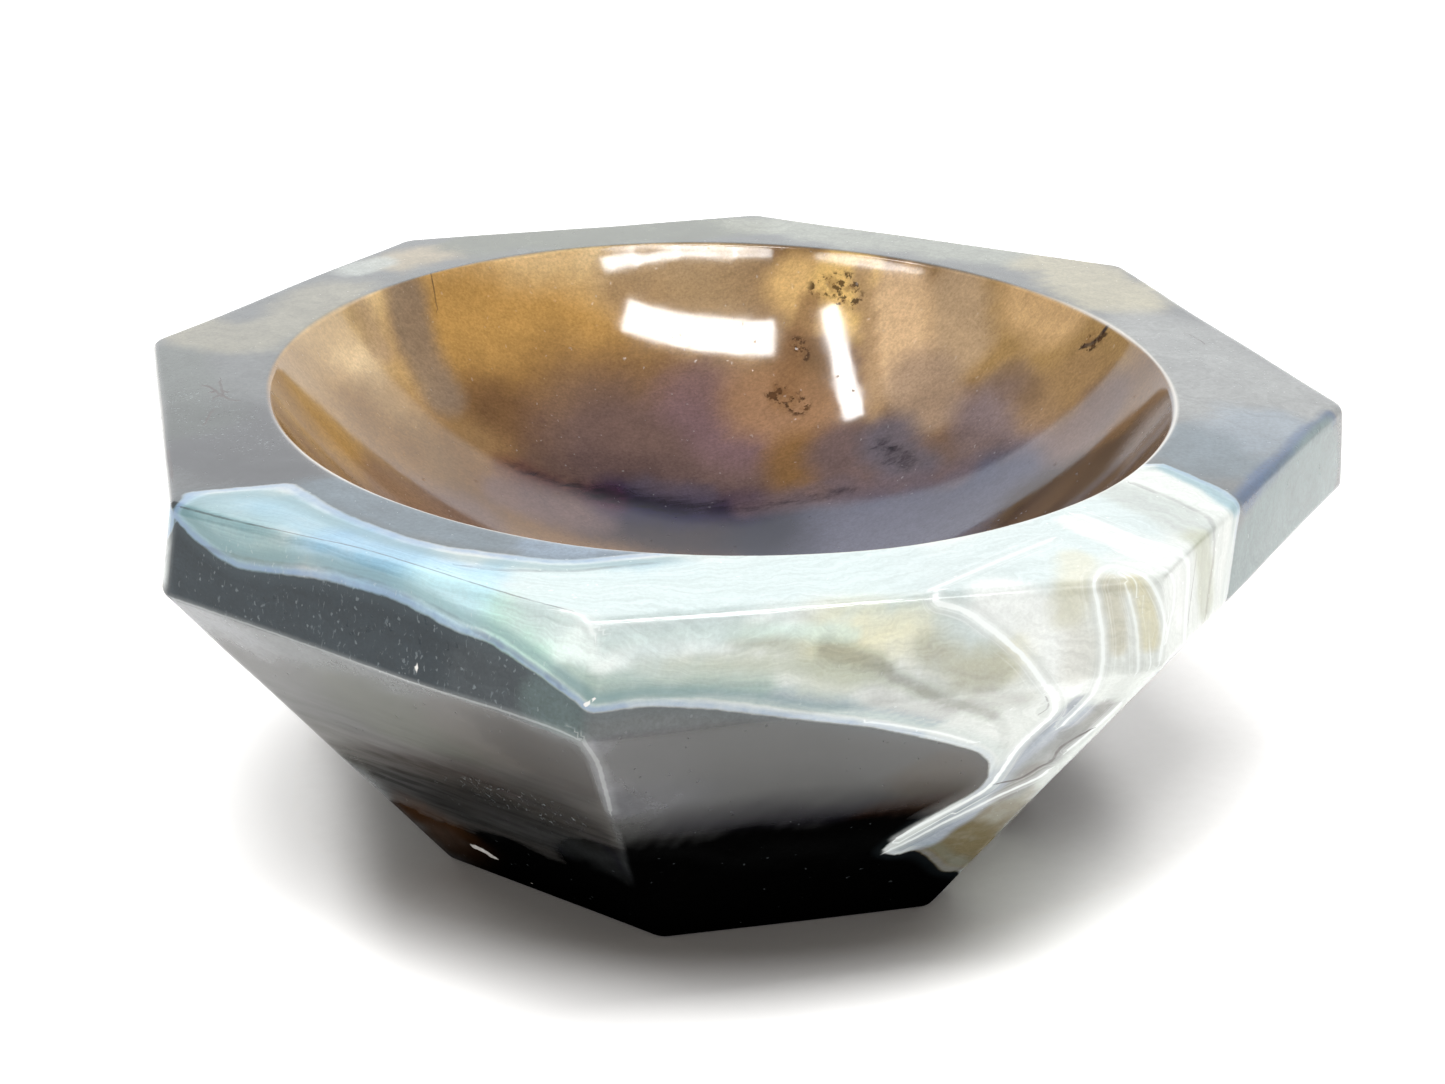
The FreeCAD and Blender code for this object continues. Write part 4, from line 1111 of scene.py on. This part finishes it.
    def with_lines(self, colour, inside):
        """White threads, three of them painted highlights along edges, and dark cracks; gives the
        colour and the crack mask.
        """
        jitter = self.point.noise(scale=2.6, detail=3.0, rough=0.5).times_plus(0.9, -0.45)
        widths = abs(self.attribute("ws") + jitter)
        distance = self.attribute("wo")
        thread = widths.ramp((0.45, 1.15), to=(1.0, 0.0))
        thread = thread * distance.ramp((0.32, 0.50), to=(1.0, 0.0))
        glow = widths.ramp((0.5, 4.0), to=(0.34, 0.0))
        glow = glow * distance.ramp((0.30, 0.60), to=(1.0, 0.0))
        plume = self.banding(self.attribute("ws"), (self.x, self.z), tight=0.85, loose=0.12,
                             detail=3.0, rough=0.75)
        reach = distance.ramp((0.12, 0.85), to=(0.50, 0.0)) * inside
        plume = plume.ramp((0.50, 0.64)) * reach
        shadow = widths.ramp((1.0, 1.7)) * widths.ramp((1.9, 4.2), to=(1.0, 0.0))
        near = distance.ramp((0.3, 0.6), to=(0.24, 0.0)) * (self.attribute("wk") * inside)
        colour = self.mix(shadow * near, colour, rgb(128, 134, 132))
        # the white lines include painted highlights along three edges
        white = thread.maximum(glow).maximum(plume) * self.attribute("wk")
        colour = self.mix(white, colour, rgb(222, 227, 226))

        widths = abs(self.attribute("ds") + jitter * 1.1)
        crack = widths.ramp((0.35, 1.25), to=(1.0, 0.0))
        crack = crack * self.attribute("do").ramp((0.22, 0.40), to=(1.0, 0.0))
        gaps = self.point.noise(scale=1.1, detail=2.0)
        crack = crack * gaps.ramp((0.30, 0.55), to=(0.55, 1.0))
        return self.mix(crack * self.attribute("dk"), colour, rgb(60, 50, 48)), crack

    def with_specks(self, colour):
        """Moss-like specks inside the bowl."""
        speck = self.attribute("speck").ramp((0.05, 0.6))
        moss = self.point.noise(scale=1.7, detail=4.0, rough=0.68)
        speck = speck * moss.ramp((0.495, 0.575))
        colour = self.mix(speck * 0.86, colour, rgb(52, 33, 18))
        patches = self.point.noise(scale=1.2, detail=3.0, rough=0.62, warp=0.5)
        halo = self.attribute("speck") * patches.ramp((0.45, 0.62), to=(0.0, 0.45))
        return self.mix(halo, colour, rgb(104, 70, 40))

    def with_pits(self, colour):
        """Dust, tiny pits and edge chips; gives the colour, the dots and the chips."""
        pit = self.attribute("pit")
        place = self.point.stretch(1.0, 1.0, 0.55)
        stir = self.point.noise(scale=3.0, detail=2.0, rough=0.5).output("Color").scaled(0.35)
        place = self.add("VectorMath", {0: place, 1: stir}, operation="ADD")
        dot, cell = place.dots(scale=4.2, radii=(0.16, 0.30), limit=pit.times_plus(0.50, 0.05))
        dust = dot * (cell.split()[1] > 0.35)
        colour = self.mix(dust * pit.times_plus(0.16, 0.08), colour, rgb(158, 168, 172))
        flick = self.point.stretch(3.4, 3.4, 1.5)
        flick = flick.noise(scale=1.6, detail=3.0, rough=0.65, warp=0.8)
        flick = flick.ramp((0.60, 0.70)) * (pit * 0.30)
        colour = self.mix(flick, colour, rgb(132, 142, 146))
        ragged = self.point.noise(scale=4.0, detail=3.0)
        ragged = ragged.times_plus(1.0, self.attribute("chip") - 0.5)
        chip = ragged.ramp((0.8, 1.2), to=(1.0, 0.0))
        return self.mix(chip * 0.9, colour, rgb(226, 224, 220)), dot, chip

    def specular(self):
        """Shine that fades on the lower side, with streaks where it turns dark."""
        foot = self.attribute("foot")
        seam = self.point.stretch(0.20, 0.20, 1.7)
        seam = seam.noise(scale=1.0, detail=4.0, rough=0.62, warp=0.25)
        zone = self.x.ramp((-7.5, -10.5)) * self.z.ramp((14.6, 9.5))
        part = foot * (1.0 - foot) * zone
        foot = (part * seam.ramp((0.30, 0.70), to=(-0.75, 1.0))).times_plus(0.80, foot)
        return foot.times_plus(-0.505, 0.5).maximum(0.0)

    def build(self):
        colour, inside = self.with_layer(self.body())
        colour, crack = self.with_lines(colour, inside)
        colour, dot, chip = self.with_pits(self.with_specks(colour))
        # painted highlight along the near side of the mouth's edge
        colour = self.mix(self.attribute("lip") * 0.75, colour, rgb(206, 204, 198))
        rough = self.point.noise(scale=0.8, detail=4.0, rough=0.6)
        rough = rough.ramp((0.3, 0.7), to=(0.045, 0.075))
        rough = chip.maximum(dot).times_plus(0.30, rough)
        rough = self.bowl.times_plus(0.022, rough)
        dents = self.point.noise(scale=0.7, detail=2.0, rough=0.4)
        dents = dot.maximum(chip).times_plus(-1.6, dents)
        dents = crack.times_plus(-0.5, dents)
        return self.finish(colour, rough, self.specular(), dents,
                           bump_strength=0.12, bump_depth=0.00003)


def build_mortar():
    grid = lap_by_hand(mortar_grid())
    normals = outward_normals(grid, BAND_RING)
    normals[:1] = (0, 0, 1)
    normals[-4:] = (0, 0, -1)
    mortar = make_mesh("mortar_stone", grid, normals, (0, 0, 1), (0, 0, -1))
    colour_mortar(mortar.data, grid, normals)
    mortar.data.materials.append(MortarAgate().build())
    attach(mortar, "mortar")
    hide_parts("mortar")


# ---------------------------------------------------------------- pestle
def pestle_grid():
    """Rings along the pestle's own z axis, from the working tip at 0 to the grip end."""
    angle = np.linspace(0, 2 * math.pi, 192, endpoint=False)

    def ring_at(z, radius):
        return np.stack([np.cos(angle) * radius, np.sin(angle) * radius, 0 * angle + z], -1)

    def section(z):
        """Radius of the tapered round blank, cut by eight flats."""
        blank = HEAD_RADIUS + TAPER * (z - HEAD_END)
        flat = FLAT_START_RADIUS + FLAT_SLOPE * (z - FLATS_START)
        total = (1.0 / blank) ** FLAT_POWER
        for k in range(8):
            facing = np.maximum(np.cos(angle - k * math.pi / 4), 0.0)
            total = total + (facing / flat) ** FLAT_POWER
        return total ** (-1.0 / FLAT_POWER)

    dome = (GRIP_RADIUS ** 2 + END_BULGE ** 2) / (2 * END_BULGE)

    def on_dome(radius):
        return ring_at(PESTLE_LENGTH - dome + np.sqrt(dome ** 2 - radius ** 2), radius)

    rings = []
    for turn in np.radians(np.linspace(0, TIP_ANGLE, 30)[1:]):
        rings.append(ring_at(TIP_RADIUS * (1 - math.cos(turn)), TIP_RADIUS * math.sin(turn)))
    for turn in np.radians(np.linspace(TIP_ANGLE - 90, 0, 10)[1:]):
        rings.append(ring_at(SHOULDER_Z + SHOULDER_RADIUS * math.sin(turn),
                             HEAD_RADIUS - SHOULDER_RADIUS + SHOULDER_RADIUS * math.cos(turn)))
    rings += [ring_at(z, HEAD_RADIUS) for z in np.linspace(SHOULDER_Z, HEAD_END, 6)[1:]]
    for z in np.linspace(HEAD_END, TAPER_END - END_ROUNDING, 112)[1:]:
        rings.append(ring_at(z, section(z)))
    edge = section(TAPER_END)
    inner = edge - END_ROUNDING
    rings += curved_rings(rings[-1], on_dome(edge), on_dome(inner), 8)
    rings += [on_dome(inner * size) for size in np.linspace(1, 0, 14)[1:-1]]
    return np.array(rings)


def build_pestle():
    outer_ring = 80
    grid = pestle_grid()
    # a lapped surface is never quite even
    amount = 0.020 * smooth_noise(grid + 40.0, 41, 8.0) + 0.004 * smooth_noise(grid, 42, 2.6)
    grid = grid + outward_normals(grid, outer_ring) * amount[..., None]
    normals = outward_normals(grid, outer_ring)
    # laid down on one flat
    tilt = math.atan(-FLAT_SLOPE)
    heading = np.array([math.cos(PESTLE_TURN), math.sin(PESTLE_TURN), 0.0])
    up = np.array([0.0, 0.0, 1.0])
    z_axis = heading * math.cos(tilt) - up * math.sin(tilt)
    x_axis = up * math.cos(tilt) + heading * math.sin(tilt)
    axes = np.stack([x_axis, np.cross(z_axis, x_axis), z_axis])
    lift = (FLAT_START_RADIUS - FLAT_SLOPE * FLATS_START) * math.cos(tilt)
    base = np.array([*PESTLE_CENTRE, 0.0]) + up * lift
    base -= np.array([1.0, 1.0, 0.0]) * z_axis * PESTLE_LENGTH / 2
    laid = grid @ axes + base
    laid[..., 2] = np.maximum(laid[..., 2], 0.0)
    pestle = make_mesh("pestle_stone", laid, normals @ axes, -z_axis, z_axis)
    own = np.concatenate([grid.reshape(-1, 3), [[0, 0, 0], [0, 0, PESTLE_LENGTH]]])
    for name, axis in (("along", 2), ("across", 0), ("beside", 1)):
        add_number(pestle.data, name, own[:, axis])
    pestle.data.materials.append(pestle_material())
    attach(pestle, "pestle")
    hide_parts("pestle")


def pestle_body(net, point, x, y, field):
    """Grey stone, warm towards the tip, with smoky clouds and banding along the field."""
    grain = point.noise(scale=7.0, detail=4.0, rough=0.62)
    cloud = point.noise(scale=0.20, detail=5.0, rough=0.58, warp=0.6)
    mottle = point.shift(31.0, 7.0, 3.0).noise(scale=1.3, detail=4.0, rough=0.6, warp=0.4)
    body = net.mix(cloud.ramp((0.40, 0.58)), rgb(112, 108, 104), rgb(76, 82, 86))
    patches = point.shift(3.0, 60.0, 9.0).noise(scale=0.16, detail=4.0, rough=0.5)
    near_tip = net.attribute_along.ramp((22.0, 4.0))
    warm = near_tip * patches.ramp((0.34, 0.56), to=(0.35, 1.0))
    body = net.mix(warm, body, rgb(150, 114, 72))
    smoke = point.shift(80.0, 2.0, 19.0).noise(scale=0.24, detail=5.0, rough=0.6, warp=0.6)
    body = net.mix(smoke.ramp((0.52, 0.66), to=(0.0, 0.7)), body, rgb(62, 52, 52))
    bands = net.banding(field, (x, y), tight=1.5, loose=0.05, detail=4.0, rough=0.65)
    body = net.shade(body, bands.ramp((0.30, 0.70), to=(0.84, 1.14)))
    factor = mottle.ramp((0.2, 0.8), to=(0.92, 1.08)) * grain.ramp((0.2, 0.8), to=(0.93, 1.07))
    return net.shade(body, factor)


def pestle_layer(net, point, x, y, field, body):
    """Lays one pale layer with a light blue outline and a thin thread over the body."""
    half_width, centre = 3.4, 36.0
    depth = half_width - abs(field - centre)
    depth = point.noise(scale=0.9, detail=3.0, rough=0.5).times_plus(0.30, depth)
    fine = net.banding(field, (x, y), tight=3.1, loose=0.08, detail=4.0, rough=0.7)
    pale = net.mix(fine.ramp((0.35, 0.65)), rgb(172, 186, 184), rgb(214, 222, 220))
    straw = point.noise(scale=0.5, detail=3.0).ramp((0.52, 0.62), to=(0.0, 0.6))
    pale = net.mix(straw, pale, rgb(196, 192, 166))
    blue = depth.ramp((-0.05, 0.10)) * depth.ramp((0.30, 0.60), to=(1.0, 0.0))
    pale = net.mix(blue * 0.9, pale, rgb(160, 184, 214))
    colour = net.mix(depth.ramp((-0.08, 0.10)), body, pale)
    thread = abs(field - point.noise(scale=0.5, detail=2.0).times_plus(0.9, 30.2))
    return net.mix(thread.ramp((0.08, 0.26), to=(0.7, 0.0)), colour, rgb(196, 204, 210))


def pestle_material():
    net = MaterialNet("pestle_agate_polished")
    z, x, y = (net.attribute(name) for name in ("along", "across", "beside"))
    net.attribute_along = z
    point = net.combine(x, y, z)
    # the banding runs obliquely through the pestle
    field = x.times_plus(1.15, z) + y * 0.55
    field = point.noise(scale=0.13, detail=3.0, rough=0.5).times_plus(9.0, field)
    body = pestle_body(net, point, x, y, field)
    colour = pestle_layer(net, point, x, y, field, body)
    dot, _ = point.dots(scale=1.45, radii=(0.06, 0.13), limit=0.10)
    colour = net.mix(dot * 0.3, colour, rgb(196, 200, 200))
    # the working tip is ground, so it is paler and duller than the polished grip
    worn = point.noise(scale=0.6, detail=3.0).times_plus(1.6, z).ramp((5.6, 3.2))
    colour = net.mix(worn * 0.28, colour, rgb(188, 180, 168))
    rough = point.noise(scale=0.8, detail=4.0, rough=0.6).ramp((0.3, 0.7), to=(0.05, 0.09))
    rough = worn.times_plus(0.30, rough)
    rough = dot.times_plus(0.25, rough)
    height = dot.times_plus(-1.2, point.noise(scale=0.7, detail=2.0, rough=0.4))
    ground = worn * point.noise(scale=6.0, detail=3.0, rough=0.6)
    return net.finish(colour, rough, 0.5, ground.times_plus(0.6, height),
                      bump_strength=0.15, bump_depth=0.00003)


# ---------------------------------------------------------------- stage, light, camera
def floor_material():
    net = MaterialNet("floor_paper")
    point = net.point_mm()
    tooth = point.noise(scale=1.1, detail=4.0, rough=0.6)
    colour = net.shade((0.935, 0.93, 0.92), tooth.ramp((0.3, 0.7), to=(0.975, 1.0)))
    net.finish(colour, 0.92, 0.12, tooth, bump_strength=0.15, bump_depth=0.00002)
    # painted light: the paper glows, faintly near the mortar and strongly beyond, which sets the
    # edge of the mortar's shadow; it washes out to plain white away from the mortar, sooner on the
    # left
    x, y, _ = point.split()
    offset = x - 3.0
    sideways = offset * 0.78 - offset.maximum(0.0) * 0.085
    distance = net.length(sideways, y - 1.0)
    glow = distance.ramp((17.3, 23.0), to=(0.035, 0.52))
    glow = glow + distance.ramp((160.0, 600.0), to=(0.0, 0.50))
    # except under the pestle, where the painted glow is held back so it keeps its own soft shadow
    pestle_x, pestle_y = x - PESTLE_CENTRE[0], y - PESTLE_CENTRE[1]
    cosine, sine = math.cos(PESTLE_TURN), math.sin(PESTLE_TURN)
    along = pestle_x * cosine + pestle_y * sine
    beside = pestle_y * cosine - pestle_x * sine
    past_end = (abs(along) - 24.0).maximum(0.0)
    near = net.length(past_end, beside)
    net.plug(net.surface["Emission Color"], (1, 1, 1, 1))
    net.plug(net.surface["Emission Strength"], glow * near.ramp((5.0, 13.0), to=(0.10, 1.0)))
    return net.material


def build_floor():
    mesh = bpy.data.meshes.new("floor")
    corners = [(x * FLOOR_HALF, y * FLOOR_HALF, 0) for x, y in ((-1, -1), (1, -1), (1, 1), (-1, 1))]
    mesh.from_pydata(corners, [], [(0, 1, 2, 3)])
    floor = bpy.data.objects.new("floor", mesh)
    floor.location = (0, 0, FLOOR_Z)
    bpy.context.scene.collection.objects.link(floor)
    mesh.materials.append(floor_material())
    floor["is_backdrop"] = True


def build_world():
    """White sweep behind the object, a dimmer room in front of it and overhead."""
    world = bpy.data.worlds.new("studio")
    bpy.context.scene.world = world
    world.use_nodes = True
    net = Net(world.node_tree)
    net.tree.nodes.clear()
    x, y, z = net.add("TexCoord", {}, "Generated").split()
    azimuth = net.math("ARCTAN2", x, y) * DEGREES
    elevation = net.math("ARCSINE", z) * DEGREES
    # the sweep: an arch 58 degrees high at azimuth 8, its right foot farther out than its left
    turn = azimuth - 8.0
    half_span = 38.0 + (turn > 0.0) * 32.0
    share = turn / half_span
    square = share * share
    top = 58.0 * (1.0 - square * square)
    inside = (top - elevation).times_plus(0.16, 0.5).maximum(0.0)
    inside = net.math("SMOOTH_MIN", 1.0, inside, 0.05)
    inside = net.math("MULTIPLY", inside, 1.0, clamp=True)
    seen_by_light = net.mix(inside, ROOM_COLOUR, SWEEP_COLOUR)
    camera_ray = net.add("LightPath", {}, "Is Camera Ray")
    colour = net.mix(camera_ray, seen_by_light, (1.0, 1.0, 1.0, 1))
    background = net.add("Background", {"Color": colour, "Strength": 1.0})
    world_output = net.tree.nodes.new("ShaderNodeOutputWorld")
    net.plug(world_output.inputs["Surface"], background)


def axes_matrix(x_axis, y_axis, z_axis, place):
    matrix = Matrix((x_axis, y_axis, z_axis)).transposed().to_4x4()
    matrix.translation = place
    return matrix


def direction(azimuth, elevation):
    """Unit vector, azimuth from +Y towards +X, both in degrees."""
    turn, rise = math.radians(azimuth), math.radians(elevation)
    return Vector((math.sin(turn) * math.cos(rise), math.cos(turn) * math.cos(rise),
                   math.sin(rise)))


def add_strip(name, start, end, width, radiance, fill):
    """A bright strip between two directions; it only lights (fill) or only shows as a glint."""
    start = direction(*start) * STRIP_DISTANCE
    end = direction(*end) * STRIP_DISTANCE
    middle = (start + end) / 2
    along = (end - start).normalized()
    back = middle.normalized()
    back = (back - along * back.dot(along)).normalized()
    length = (end - start).length
    light = bpy.data.lights.new(name, "AREA")
    light.shape = "RECTANGLE"
    light.size = length
    light.size_y = width
    light.energy = radiance * math.pi * length * width
    strip = bpy.data.objects.new(name, light)
    bpy.context.scene.collection.objects.link(strip)
    place = middle + Vector(STRIP_TARGET)
    strip.matrix_world = axes_matrix(along, back.cross(along), back, place)
    strip.visible_diffuse = fill
    strip.visible_glossy = not fill


def build_camera():
    camera = bpy.data.cameras.new("camera")
    holder = bpy.data.objects.new("camera", camera)
    bpy.context.scene.collection.objects.link(holder)
    camera.sensor_fit = "HORIZONTAL"
    camera.sensor_width = SENSOR_WIDTH
    camera.lens = LENS
    camera.clip_start = 0.005
    camera.clip_end = 20.0
    back = direction(180.0 - CAMERA_AZIMUTH, CAMERA_ELEVATION)
    right = (-back).cross(Vector((0, 0, 1))).normalized()
    up = right.cross(-back)
    roll = math.radians(CAMERA_ROLL)
    rolled_right = right * math.cos(roll) + up * math.sin(roll)
    rolled_up = up * math.cos(roll) - right * math.sin(roll)
    holder.matrix_world = axes_matrix(rolled_right, rolled_up, back, CAMERA_PLACE)
    bpy.context.scene.camera = holder


def as_lists(box):
    if isinstance(box, dict):
        return {k: as_lists(v) for k, v in box.items()}
    return [as_lists(v) if hasattr(v, "__len__") else float(v) for v in box]


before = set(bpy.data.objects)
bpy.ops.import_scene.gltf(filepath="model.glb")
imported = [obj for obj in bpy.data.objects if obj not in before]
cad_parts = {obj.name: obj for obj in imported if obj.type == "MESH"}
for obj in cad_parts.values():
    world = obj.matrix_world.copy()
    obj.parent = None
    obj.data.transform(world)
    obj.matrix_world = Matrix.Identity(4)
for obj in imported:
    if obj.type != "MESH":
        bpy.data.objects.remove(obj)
cad_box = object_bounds()
build_mortar()
build_pestle()
build_floor()
build_world()
for strip_row in FILL_STRIPS:
    add_strip(*strip_row, fill=True)
for strip_row in GLINT_STRIPS:
    add_strip(*strip_row, fill=False)
build_camera()
view = bpy.context.scene.view_settings
view.view_transform = "Standard"
view.look = "None"
view.exposure = 0.0
view.gamma = 1.0

{"cad": as_lists(cad_box), "visual": as_lists(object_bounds())}
